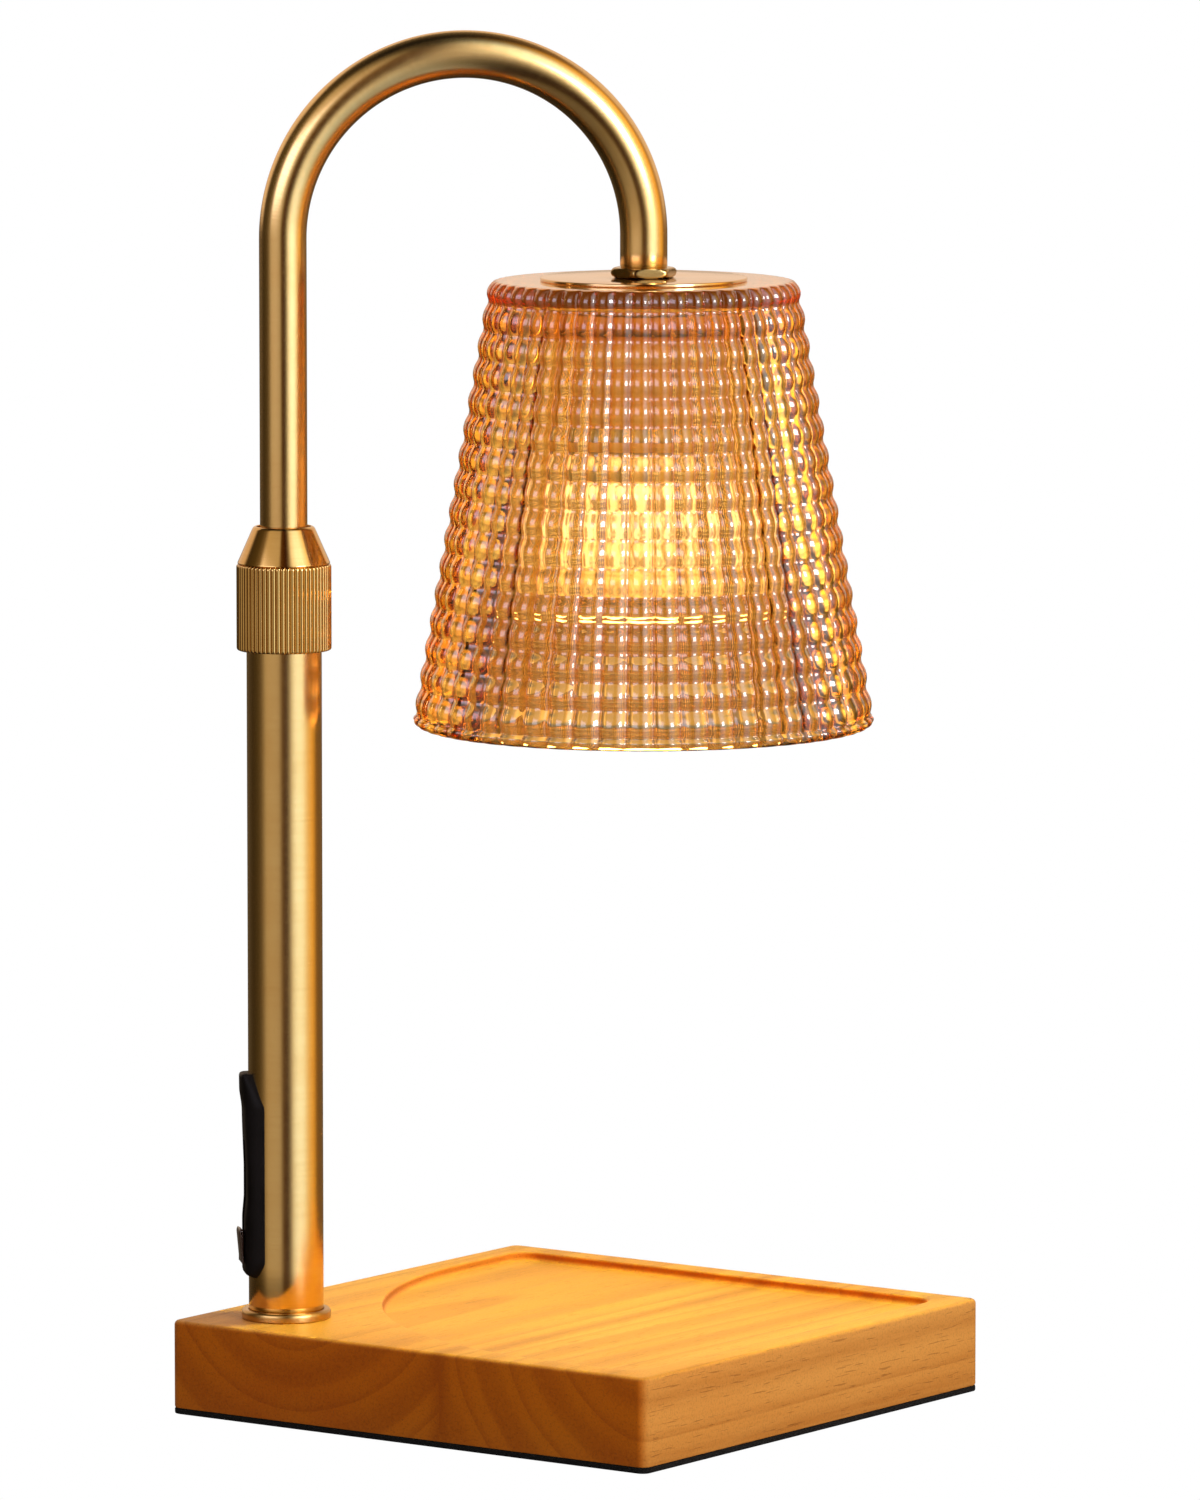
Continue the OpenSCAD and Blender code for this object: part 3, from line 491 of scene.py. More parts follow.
def feed(tree, shader, **sockets):
    """Links sockets to the shader's inputs of those names."""
    for key, value in sockets.items():
        tree.links.new(value, shader.inputs[key.replace("_", " ")])


def noise(tree, vector, scale, detail=3.0, rough=0.5, out="Fac"):
    """Noise at points per metre."""
    inputs = {"Vector": vector, "Scale": scale, "Detail": detail, "Roughness": rough}
    return add(tree, "TexNoise", inputs).outputs[out]


def speckle(tree, scale, detail=3.0):
    """Noise that is as fine along every axis of the piece."""
    return noise(tree, place_on(tree), scale, detail)


def run_of(tree, scale, detail=3.0, rough=0.5, out="Fac"):
    """Noise with its own points per metre along each axis, for fibres and scratches."""
    where = add(tree, "Mapping", {"Vector": place_on(tree), "Scale": scale}).outputs[0]
    return noise(tree, where, 1.0, detail, rough, out)


def bump(tree, height, distance, strength=1.0):
    """Normal from a height, whose full range stands distance metres high."""
    return add(tree, "Bump", {"Height": height, "Distance": distance, "Strength": strength}).outputs[0]


WOOD_LIGHT = (0.76, 0.33, 0.070)
WOOD_MEAN = (0.64, 0.225, 0.034)
WOOD_DARK = (0.36, 0.095, 0.008)
WOOD_PORE = (0.20, 0.055, 0.008)
COVE_SHADE_TINT = (0.74, 0.50, 0.30)
END_TINT = (0.92, 0.50, 0.0)
# Two staves, glued at GLUE_X: where their trees' centres lie, left and right of it, in metres
GLUE_X = 0.0108
PITHS = ((-0.035, 0.0484), (0.076, 0.038))
RINGS_PER_METRE = 128.0
# Good and bad years: how far the rings shift, in metres, and how fast the shift comes round
YEARS_SHIFT = 0.0022
YEARS_TURN = 410.0

wood, tree, shader = material("oiled_pine", Specular_IOR_Level=0.14)
place = place_on(tree)
x_y_z = axes_of(tree, place)
wander = run_of(tree, (9.6, 1.92, 9.6), 2.0, 0.5, "Color")
for operation, b in (("SUBTRACT", (0.5, 0.5, 0.5)), ("MULTIPLY", (0.022, 0.0, 0.022)), ("ADD", place)):
    wander = add(tree, "VectorMath", {0: wander, 1: b}, operation=operation).outputs[0]
bent = axes_of(tree, wander)
stave = maths(tree, "GREATER_THAN", x_y_z["X"], GLUE_X)
from_pith = []
for axis, left, right in (("X", PITHS[0][0], PITHS[1][0]), ("Z", PITHS[0][1], PITHS[1][1])):
    pith = add(tree, "MapRange", {0: stave, 3: left, 4: right}).outputs[0]
    from_pith.append(maths(tree, "ABSOLUTE", maths(tree, "SUBTRACT", bent[axis], pith)))
squares = maths(tree, "ADD", *(maths(tree, "POWER", side, 2.0) for side in from_pith))
ring_distance = maths(tree, "SQRT", squares)
years = times(tree, maths(tree, "SINE", times(tree, ring_distance, YEARS_TURN)), YEARS_SHIFT)
ring_phase = maths(tree, "FRACT", times(tree, maths(tree, "ADD", ring_distance, years), RINGS_PER_METRE))
ring_shade = ramp(tree, ring_phase, [
    (0.0, 0.05), (0.5, 0.16), (0.86, 0.9), (0.92, 0.7), (0.96, 0.1), (1.0, 0.05)], "B_SPLINE")
broad = run_of(tree, (30, 5, 30), 3.0, 0.55)
fibre = run_of(tree, (900, 42, 900), 4.0, 0.62)
flecks = run_of(tree, (2600, 150, 2600), 1.0, 0.4)
pores = ramp(tree, flecks, [(0.0, 1.0), (0.27, 1.0), (0.34, 0.0), (1.0, 0.0)])
from_glue = maths(tree, "ABSOLUTE", maths(tree, "SUBTRACT", x_y_z["X"], GLUE_X))
glue = ramp(tree, from_glue, [(0.0, 1.0), (0.0001, 0.8), (0.0003, 0.0)])
tone = WOOD_MEAN
for cover, strength, colour in (
        (ramp(tree, broad, [(0.3, 0.0), (0.7, 1.0)]), 1.0, WOOD_LIGHT), (ring_shade, 0.55, WOOD_DARK),
        (ramp(tree, fibre, [(0.35, 0.0), (0.68, 1.0)]), 0.35, WOOD_LIGHT), (pores, 0.42, WOOD_PORE),
        (glue, 0.4, WOOD_DARK)):
    tone = mix_colour(tree, times(tree, cover, strength), tone, colour)
# The tray's steep cove walls are tinted darker, a painted shade where less light falls; the open ends of the
# fibres on the -Y side are darker too
normal = axes_of(tree, place_on(tree, "Normal"))
from_middle = maths(tree, "MAXIMUM", *(maths(tree, "ABSOLUTE", x_y_z[axis]) for axis in "XY"))
tray_wall_mask = times(tree, maths(tree, "LESS_THAN", from_middle, (TRAY_HALF + 1.5) * MM),
               maths(tree, "GREATER_THAN", x_y_z["Z"], (TRAY_FLOOR + 0.1) * MM))
steep = ramp(tree, maths(tree, "ABSOLUTE", normal["Z"]), [(0.4, 1.0), (0.97, 0.0)])
tone = mix_colour(tree, times(tree, tray_wall_mask, steep), tone, tint(tree, tone, COVE_SHADE_TINT))
end_grain = maths(tree, "POWER", maths(tree, "ABSOLUTE", normal["Y"]), 3.0)
tone = mix_colour(tree, end_grain, tone, tint(tree, tone, END_TINT))
open_grain = noise(tree, place, 1700.0, 2.0, 0.7)
tone = tint(tree, tone, ramp(tree, open_grain, [(0.3, 0.80), (0.5, 0.98), (0.7, 1.0)]))
height = maths(tree, "ADD", times(tree, fibre, 0.6), times(tree, pores, -0.8))
height = maths(tree, "ADD", height, times(tree, ring_shade, 0.35))
feed(tree, shader, Base_Color=tone, Normal=bump(tree, height, 0.00012, 0.55),
     Roughness=maths(tree, "MULTIPLY_ADD", fibre, 0.18, 0.34))
wood_base.data.materials.append(wood)
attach(wood_base, "stand")
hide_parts("base_block")


# ---- pad and cord inlet ------------------------------------------------------------------------
# A sheet of black foam rubber, cut to the block's outline and glued under it, and the moulded bush
# in the -X side through which the cord would enter.

pad_side = [level_loop(base_line, offset, z) for offset, z in (
    (-0.45, 0.0), (-0.12, 0.12), (0.0, 0.45), (0.0, PAD_T - 0.3), (-0.1, PAD_T - 0.08), (-0.3, PAD_T))]
base_pad = welded("rubber_pad", [flat_fill([pad_side[0]]), band(pad_side), flat_fill([pad_side[-1]])])
rubber, tree, shader = material("foam_rubber", Roughness=0.9, Specular_IOR_Level=0.15)
cells = add(tree, "TexVoronoi", {"Vector": place_on(tree), "Scale": 1400.0}).outputs["Distance"]
feed(tree, shader, Normal=bump(tree, cells, 0.0002, 0.5),
     Base_Color=ramp(tree, cells, [(0.0, (0.002, 0.002, 0.002)), (0.7, (0.010, 0.009, 0.009))]))
base_pad.data.materials.append(rubber)
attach(base_pad, "stand")
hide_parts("base_pad")


def finish_nodes(finish, *names):
    """Gives CAD nodes that are carried over a finish."""
    for name in names:
        NODES[name].data.materials.clear()
        NODES[name].data.materials.append(finish)


bush_rubber, tree, shader = material("bush_rubber", Roughness=0.62)
grain = speckle(tree, 2600.0, 2.0)
feed(tree, shader, Normal=bump(tree, grain, 0.00005, 0.6),
     Base_Color=ramp(tree, grain, [(0.3, (0.018, 0.017, 0.016)), (0.7, (0.04, 0.038, 0.036))]))
finish_nodes(bush_rubber, "cord_grommet")


# ---- column fastening --------------------------------------------------------------------------
# Plug, hollow M10 nipple, washer and nut of zinc-plated steel: they pull the column down on the
# wood from inside the counterbore. The plating is passivated, so it is faintly yellow and blue.

zinc, tree, shader = material("zinc_plate", Metallic=1.0)
spangle = speckle(tree, 420.0)
plating = [(0.25, (0.56, 0.58, 0.62)), (0.55, (0.66, 0.64, 0.58)), (0.8, (0.60, 0.60, 0.60))]
feed(tree, shader, Roughness=ramp(tree, spangle, [(0.3, 0.24), (0.7, 0.42)]),
     Base_Color=ramp(tree, spangle, plating),
     Normal=bump(tree, run_of(tree, (160, 160, 5200), 2.0), 0.00003, 0.4))
finish_nodes(zinc, "foot_plug", "foot_nipple", "foot_washer", "foot_nut")


# ---- column ------------------------------------------------------------------------------------
# A 19 mm brass tube in a turned ring. Both are brushed round their axis and lacquered, which gives
# long soft bands of light. The tube has a window for the dimmer in its outer side.

COLUMN_R = 9.5
COLUMN_BORE_R = 8.3
COLUMN_FOOT = 24.8
COLUMN_TOP = 199.0
FLANGE_R = 11.35
FLANGE_TOP = 26.4
WINDOW_HALF = 5.1
WINDOW_Z = (37.4, 81.1)
WINDOW_STEPS = 24
OUTWARDS = math.pi / 4


def rounded(points, radii, steps=4):
    """Profile line whose corners are rounded: each corner becomes a curve that leaves one side and
    meets the next at the given distance from it."""
    points = np.asarray(points, float)
    out = [points[:1]]
    t = np.linspace(0, 1, steps + 1)[:, None]
    for before, here, after, r in zip(points[:-2], points[1:-1], points[2:], radii[1:-1]):
        if r <= 0:
            out.append(here[None])
            continue
        to_before, to_after = before - here, after - here
        a = here + to_before / np.linalg.norm(to_before) * min(r, 0.5 * np.linalg.norm(to_before))
        b = here + to_after / np.linalg.norm(to_after) * min(r, 0.5 * np.linalg.norm(to_after))
        out.append(a * (1 - t) ** 2 + here * 2 * t * (1 - t) + b * t**2)
    out.append(points[-1:])
    return np.concatenate(out)


def closed_rounded(points, radii, steps=4):
    """The same for a closed profile."""
    points, radii = list(points), list(radii)
    middle = (np.array(points[0], float) + np.array(points[-1], float)) / 2
    line = rounded([middle, *points, middle], [0, *radii, 0], steps)
    return line[:-1]


def around_axis(at, radius, turns, heights):
    """Grid of points round the upright axis at x = y = at: a row for each height and a column for
    each turn. The radius is given for each row or for each point."""
    z = np.repeat(np.reshape(heights, (-1, 1)), len(turns), 1)
    return np.stack([at + radius * np.cos(turns), at + radius * np.sin(turns), z], 2)


def turned_rows(profile, count, at):
    """A profile of radius and height turned about the same axis: a row for each of its points."""
    profile = np.asarray(profile)
    turns = np.linspace(0, 2 * math.pi, count, endpoint=False)
    return around_axis(at, profile[:, :1], turns, profile[:, 1])


def closed_skin(name, rows, finish, crease=35.0):
    """Piece whose last row of points joins its first, as on a ring or a tube with a wall."""
    faces = grid_faces(len(rows), rows.shape[1], wrap_rows=True)
    return welded(name, [(rows.reshape(-1, 3), faces)], finish, crease)


def pierced_shell(outer, inner, hole, wrap=True):
    """Patches of a wall between two grids of equal shape, without the cells of hole. The columns
    wrap round where asked, and the wall is closed along every border."""
    rows, columns = outer.shape[:2]
    back = rows * columns
    verts = np.concatenate([outer.reshape(-1, 3), inner.reshape(-1, 3)])
    cells = grid_faces(rows, columns, wrap_columns=wrap).reshape(*hole.shape, 4)[~hole]
    solid = np.pad(~hole, 1)
    if wrap:
        solid[:, [0, -1]] = solid[:, [-2, 1]]
    faces = [cells, cells[:, ::-1] + back]
    r, c = np.nonzero(solid[1:, 1:-1] != solid[:-1, 1:-1])
    level = (r * columns + c, r * columns + (c + 1) % columns)
    r, c = np.nonzero((solid[1:-1, 1:] != solid[1:-1, :-1])[:, :columns])
    upright = (r * columns + c, (r + 1) * columns + c)
    faces += [np.stack([a, b, b + back, a + back], 1) for a, b in (level, upright)]
    return verts, np.concatenate(faces)


def new_group(name, inputs, outputs):
    """Empty shader node group with those sockets."""
    group = bpy.data.node_groups.new(name, "ShaderNodeTree")
    for label, kind, value in inputs:
        socket = group.interface.new_socket(label, in_out="INPUT", socket_type="NodeSocket" + kind)
        if value is not None:
            socket.default_value = value
    for label, kind in outputs:
        group.interface.new_socket(label, in_out="OUTPUT", socket_type="NodeSocket" + kind)
    return group, group.nodes.new("NodeGroupInput").outputs, group.nodes.new("NodeGroupOutput").inputs


def use_group(tree, group, inputs):
    """The outputs of a node group placed in a material."""
    made = tree.nodes.new("ShaderNodeGroup")
    made.node_tree = group
    return wire(tree, made, inputs).outputs


brushing, source, result = new_group(
    "brushed_metal",
    [("Vector", "Vector", None), ("Colour", "Color", (0.8, 0.6, 0.3, 1)),
     ("Tarnish", "Color", (0.6, 0.4, 0.15, 1)), ("Smooth", "Float", 0.2), ("Rough", "Float", 0.3),
     ("Depth", "Float", 0.4)],
    [("Colour", "Color"), ("Roughness", "Float"), ("Normal", "Vector")],
)
lines = noise(brushing, source["Vector"], 1.0, 3.0, 0.6)
cloud = noise(brushing, place_on(brushing), 70.0, 3.0, 0.55)
blot = times(brushing, ramp(brushing, cloud, [(0.35, 0.0), (0.75, 1.0)]), 0.55)
streak = times(brushing, ramp(brushing, lines, [(0.40, 0.0), (0.70, 1.0)]), 0.30)
dulled = maths(brushing, "ADD", blot, streak, clamp=True)
uneven = maths(brushing, "ADD", times(brushing, lines, 0.6), times(brushing, cloud, 0.4))
spread = add(brushing, "MapRange", {0: uneven, 1: 0.3, 2: 0.7, 3: source["Smooth"], 4: source["Rough"]})
ripple = bump(brushing, lines, 0.00002, source["Depth"])
for label, socket in (("Colour", mix_colour(brushing, dulled, source["Colour"], source["Tarnish"])),
                      ("Roughness", spread.outputs[0]), ("Normal", ripple)):
    brushing.links.new(socket, result[label])

BRASS = (0.83, 0.585, 0.265)
BRASS_DEEP = (0.74, 0.46, 0.165)
# Scratches per metre: fine steps along the axis, long runs round it
BRUSH_LINES = (60, 60, 3800)


def brushed(name, colour, tarnish, smooth, rough, depth, anisotropy=0.0, attribute=None):
    """Metal brushed round an upright axis. A bent piece gives its place before the bend in an
    attribute of that name."""
    made, tree, shader = material(name, Metallic=1.0, Anisotropic=anisotropy)
    if anisotropy:
        feed(tree, shader, Tangent=add(tree, "Tangent", direction_type="RADIAL", axis="Z").outputs[0])
    if attribute:
        where = add(tree, "Attribute", attribute_name=attribute).outputs["Vector"]
    else:
        where = place_on(tree)
    out = use_group(tree, brushing, {
        "Vector": add(tree, "Mapping", {"Vector": where, "Scale": BRUSH_LINES}).outputs[0],
        "Colour": (*colour, 1), "Tarnish": (*tarnish, 1), "Smooth": smooth, "Rough": rough, "Depth": depth,
    })
    feed(tree, shader, Base_Color=out["Colour"], Roughness=out["Roughness"], Normal=out["Normal"])
    return made


brass_column = brushed("brushed_brass_column", BRASS, BRASS_DEEP, 0.17, 0.25, 0.35, 0.55)
window_turn = math.asin(WINDOW_HALF / COLUMN_R)
turns = np.concatenate([
    np.linspace(-window_turn, window_turn, WINDOW_STEPS + 1),
    np.linspace(window_turn, 2 * math.pi - window_turn, 121)[1:-1],
]) + math.pi + OUTWARDS
heights = np.array([COLUMN_FOOT, COLUMN_FOOT + 0.2, *WINDOW_Z, COLUMN_TOP - 0.3, COLUMN_TOP])
walls = []
for r, ends in ((COLUMN_R, (0.15, 0.3)), (COLUMN_BORE_R, (-0.1, -0.2))):
    radius = np.array([r - ends[0], r, r, r, r, r - ends[1]])[:, None]
    walls.append(around_axis(COLUMN_XY, radius, turns, heights))
hole = np.zeros((len(heights) - 1, len(turns)), bool)
hole[2, :WINDOW_STEPS] = True
column = welded("column_tube_brass", [pierced_shell(*walls, hole)], brass_column, 40)
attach(column, "stand")
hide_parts("column_tube")

flange_profile = closed_rounded(
    [(BORE_R, BASE_TOP), (FLANGE_R, BASE_TOP), (FLANGE_R, FLANGE_TOP), (COLUMN_R + 0.05, FLANGE_TOP),
     (COLUMN_R + 0.05, COLUMN_FOOT), (BORE_R, COLUMN_FOOT)],
    [0.1, 0.35, 1.05, 0.35, 0.05, 0.1], 6)
flange_brass = brushed("turned_brass_ring", (0.62, 0.40, 0.15), (0.48, 0.29, 0.10), 0.24, 0.34, 0.35)
flange = closed_skin("foot_ring", turned_rows(flange_profile, 144, COLUMN_XY), flange_brass, 40)
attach(flange, "stand")
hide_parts("column_flange")


# ---- dimmer ------------------------------------------------------------------------------------
# A moulded housing of matt black plastic, let into the column's outer side, with a proud lip at its
# top and a slot for the thumb tab. Behind it sit the board and the slide resistor.

HOUSING_Z = 35.0
HOUSING_H = 52.0
HOUSING_LIP = 12.0
HOUSING_HALF = COLUMN_R * math.sin(math.radians(49))
# Height above the housing's foot, and how far its face stands from the column's axis there
HOUSING_FACE = [
    (0, 9.4), (0.3, 10.3), (0.9, 10.8), (1.8, 11.0), (15, 11.0), (20, 10.5), (28, 10.5), (40, 10.95),
    (43.5, 11.05), (46.5, 11.6), (47.6, 11.85), (51.2, 11.98), (51.8, 11.7), (52, 11.0),
]
# Height above the housing's foot, and how much narrower than its half width it is there
HOUSING_WAIST = [(0, 2.2), (1.2, 1.2), (3.6, 0.1), (43.8, 0.1), (49, 2.2), (52, 3.9)]
# How fast the lip and the face fall away across the width, per square millimetre
LIP_FALL = 0.085
FACE_FALL = 0.012
TAB_FACE = 11.3
TAB_Z = 38.4
TAB_H = 9.0
STEM_INNER = 4.8
STEM_FOOT = 40.4
STEM_TOP = 45.4
SLOT_HALF = 1.6
SLOT_Z = (40.0, 69.8)


def at_column(points):
    """Turns points from the column's own frame, whose +X points at the shade, to the lamp's."""
    points = np.asarray(points, float)
    c, s = math.cos(OUTWARDS), math.sin(OUTWARDS)
    x, y, z = np.moveaxis(points, -1, 0)
    return np.stack([COLUMN_XY + c * x - s * y, COLUMN_XY + s * x + c * y, z], -1)


def outer_side(points):
    """Distance from the column's axis, width and height on its outer side, in the lamp's frame."""
    return at_column(points * np.array([-1, 1, 1]))


def soft_min(a, b, k):
    """Smaller of two heights, blended over a width of k."""
    h = np.clip(0.5 + 0.5 * (b - a) / k, 0, 1)
    return b * (1 - h) + a * h - k * h * (1 - h)


# The face is a grid over height and width. Its depth is the smaller of a bulge across the width
# and a profile along the height, which is smoothed between its ends. Its borders curl back to the
# tube.
z_rows = np.unique(np.concatenate([
    HOUSING_Z + np.array([0, 0.15, 0.5, 1.0, 1.8, 3.0]), np.linspace(HOUSING_Z + 4, HOUSING_Z + 44, 60),
    np.linspace(HOUSING_Z + 44.6, HOUSING_Z + 51, 16),
    HOUSING_Z + HOUSING_H - np.array([0, 0.15, 0.4, 0.8]), np.array(SLOT_Z),
]))
slot_share = SLOT_HALF / HOUSING_HALF
w_columns = np.unique(np.concatenate([
    np.sin(np.linspace(-math.pi / 2, math.pi / 2, 27)), np.array([-slot_share, slot_share])]))
half_line = HOUSING_HALF - np.interp(z_rows - HOUSING_Z, *zip(*HOUSING_WAIST))
face_line = np.interp(z_rows - HOUSING_Z, *zip(*HOUSING_FACE))
face_line[6:-5] = np.convolve(face_line, np.array([1, 2, 1]) / 4, "same")[6:-5]
zz, ww = np.meshgrid(z_rows, w_columns, indexing="ij")
slot_columns = np.abs(ww * HOUSING_HALF) <= SLOT_HALF + 1e-9
in_slot = slot_columns & (zz >= SLOT_Z[0] - 1e-9) & (zz <= SLOT_Z[1] + 1e-9)
yy = ww * np.where(slot_columns, HOUSING_HALF, half_line[:, None])
tube_x = np.sqrt(np.maximum(COLUMN_R**2 - yy**2, 0))
depth = soft_min(HOUSING_LIP - LIP_FALL * yy**2, face_line[:, None] - FACE_FALL * yy**2, 0.5)
depth = tube_x + (depth - tube_x) * np.sqrt(np.clip(1 - np.abs(ww) ** 9, 0, 1))
face, back = (outer_side(np.stack([x, yy, zz], 2)) for x in (np.maximum(depth, tube_x + 0.02), tube_x))
open_cells = in_slot[:-1, :-1] & in_slot[1:, :-1] & in_slot[:-1, 1:] & in_slot[1:, 1:]
moulded, tree, shader = material("black_moulding", Specular_IOR_Level=0.12)
spark = speckle(tree, 3800.0, 2.0)
touch = speckle(tree, 130.0)
feed(tree, shader, Normal=bump(tree, spark, 0.00004, 0.6),
     Roughness=ramp(tree, touch, [(0.3, 0.42), (0.7, 0.58)]),
     Base_Color=ramp(tree, touch, [(0.3, (0.003, 0.002, 0.002)), (0.7, (0.007, 0.005, 0.005))]))
housing = welded("switch_face", [pierced_shell(face, back, open_cells, wrap=False)], moulded, 50)
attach(housing, "stand")
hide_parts("switch_housing")


def soft_bar(name, outline, half_width, edge, finish):
    """Bar on the column's outer side: a closed outline of distance and height, carried across its
    width and drawn in towards both ends by a quarter round."""
    ahead, behind = np.roll(outline, -1, 0), np.roll(outline, 1, 0)
    way = (ahead - behind) / np.maximum(np.linalg.norm(ahead - behind, axis=1, keepdims=True), 1e-9)
    area = np.sum(outline[:, 0] * ahead[:, 1] - ahead[:, 0] * outline[:, 1])
    normal = np.column_stack([way[:, 1], -way[:, 0]]) * (1 if area > 0 else -1)
    t = np.linspace(math.pi / 2, 0, 5)
    steps = [(-half_width + edge * (1 - math.sin(a)), edge * (1 - math.cos(a))) for a in t]
    steps += [(-across, inwards) for across, inwards in steps[::-1]]
    rows = [np.insert(outline - normal * inwards, 1, across, axis=1) for across, inwards in steps]
    made = welded(name, [band(outer_side(np.stack(rows)))], finish, 45)
    face_outwards(made, fill=True)
    made.data.set_sharp_from_angle(angle=math.radians(45))
    return made


bronze, tree, shader = material("bronze_moulding", Roughness=0.34, Coat_Weight=0.4, Coat_Roughness=0.2)
worn = speckle(tree, 260.0)
feed(tree, shader, Base_Color=ramp(tree, worn, [(0.3, (0.018, 0.007, 0.004)), (0.7, (0.055, 0.022, 0.013))]),
     Normal=bump(tree, speckle(tree, 3000.0), 0.00003, 0.5))
head_profile = closed_rounded(
    [(TAB_FACE, TAB_Z), (TAB_FACE + 0.35, TAB_Z), (TAB_FACE + 1.1, TAB_Z + TAB_H - 0.9),
     (TAB_FACE + 0.8, TAB_Z + TAB_H), (TAB_FACE, TAB_Z + TAB_H - 0.5)],
    [0.1, 0.25, 0.45, 0.3, 0.1])
stem_profile = closed_rounded(
    [(STEM_INNER, STEM_FOOT), (TAB_FACE + 0.1, STEM_FOOT), (TAB_FACE + 0.1, STEM_TOP),
     (STEM_INNER, STEM_TOP)],
    [0.2, 0.02, 0.02, 0.2], 3)
tab = soft_bar("thumb_tab", head_profile, 3.0, 0.45, bronze)
tab_stem = soft_bar("thumb_tab_stem", stem_profile, 1.2, 0.1, bronze)
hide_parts("dimmer_tab")
for piece in (tab, tab_stem):
    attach(piece, "dimmer_slider")

board, tree, shader = material("green_board", Roughness=0.36, Coat_Weight=0.5, Coat_Roughness=0.15)
weave = add(tree, "TexBrick", {"Vector": place_on(tree), "Scale": 900.0}).outputs["Fac"]
feed(tree, shader, Base_Color=mix_colour(tree, weave, (0.02, 0.13, 0.045), (0.05, 0.24, 0.09)))
finish_nodes(board, "dimmer_board")
finish_nodes(zinc, "slide_resistor", "board_screws")


# ---- clamp: collar, collet and lock nut --------------------------------------------------------
# A threaded brass collar is pressed into the column. The slit nylon collet sits on it, and the
# knurled nut with its polished cone squeezes the collet onto the arm.

NUT_R = 12.0
NUT_FOOT = 194.6
NUT_CONE = 216.4
NUT_TOP = 226.0
NUT_MOUTH_R = 6.9
CONE_FOOT_R = 11.75
CONE_TOP_R = 7.8
# The bore inside: a seat that squeezes the collet, a thread, and a wider mouth round the column
SEAT_Z = (213.6, 221.2)
THREAD_R = 9.05
THREAD_FOOT = 199.3
SKIRT_BORE_R = 9.8
KNURL_RIBS = 60
KNURL_DEPTH = 0.5
CHAMFER_H = 0.75
CHAMFER_DEPTH = 0.55

bright_brass = brushed("polished_brass", (0.72, 0.47, 0.18), (0.62, 0.37, 0.12), 0.09, 0.15, 0.2)
nylon, tree, shader = material(
    "natural_nylon", Roughness=0.5, Subsurface_Weight=0.2, Subsurface_Radius=(0.002, 0.002, 0.002),
    Subsurface_Scale=1.0)
feed(tree, shader, Normal=bump(tree, run_of(tree, (80, 80, 2400)), 0.00004, 0.5),
     Base_Color=ramp(tree, speckle(tree, 180.0), [(0.3, (0.74, 0.72, 0.66)), (0.7, (0.82, 0.80, 0.75))]))
finish_nodes(bright_brass, "column_collar")
finish_nodes(nylon, "split_collet", "guide_bush")

# The knurl's ribs are pushed out of a plain sleeve: each is a round crest between narrow grooves,
# and its ends fade into a chamfer. The cone above and the stepped bore below are turned plain.
rib_columns = KNURL_RIBS * 12
a = np.arange(rib_columns) / rib_columns * 2 * math.pi
crest = np.abs(np.cos(a * KNURL_RIBS / 2)) ** 0.55
chamfer_z = np.array([0, 0.12, 0.25, 0.4, 0.6, 0.85])
knurl_z = np.concatenate([
    NUT_FOOT + chamfer_z, np.linspace(NUT_FOOT + 2, NUT_CONE - 2, 6), NUT_CONE - chamfer_z[::-1]])
to_end = np.minimum(knurl_z - NUT_FOOT, NUT_CONE - knurl_z)
fade = np.sqrt(np.clip(1 - (1 - np.clip(to_end / CHAMFER_H, 0, 1)) ** 2, 0, 1))
knurl_r = np.minimum(NUT_R - KNURL_DEPTH * (1 - crest[None, :]), NUT_R - CHAMFER_DEPTH * (1 - fade[:, None]))
cone_line = rounded(
    [(CONE_FOOT_R - 0.35, NUT_CONE), (CONE_FOOT_R, NUT_CONE + 0.25), (CONE_TOP_R, NUT_TOP - 0.35),
     (CONE_TOP_R - 0.6, NUT_TOP), (NUT_MOUTH_R, NUT_TOP), (NUT_MOUTH_R, SEAT_Z[1]), (THREAD_R, SEAT_Z[0]),
     (THREAD_R, THREAD_FOOT), (SKIRT_BORE_R, THREAD_FOOT), (SKIRT_BORE_R, NUT_FOOT + 0.2),
     (SKIRT_BORE_R + 0.2, NUT_FOOT)],
    [0, 0.3, 0.5, 0.3, 0.2, 0.1, 0.1, 0.1, 0.1, 0.1, 0])
nut_rows = np.concatenate([
    around_axis(COLUMN_XY, knurl_r, a, knurl_z), turned_rows(cone_line, rib_columns, COLUMN_XY)])
lock_nut = closed_skin("knurled_nut", nut_rows, bright_brass, 32)
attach(lock_nut, "locking_nut")
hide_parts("lock_nut")


# ---- arm ---------------------------------------------------------------------------------------
# A 12 mm brass tube, bent through a half circle on a mandrel and brushed along its length. A nylon
# bush, a ring and a spring clip guide it inside the column, and a sheathed lead runs through it.

ARM_R = 6.0
ARM_BORE_R = 5.0
ARM_FOOT = 157.0
BEND_Z = 298.5
BEND_R = 46.0
ARM_END = 290.3
REACH = 2 * BEND_R
ARM_COLUMNS = 72

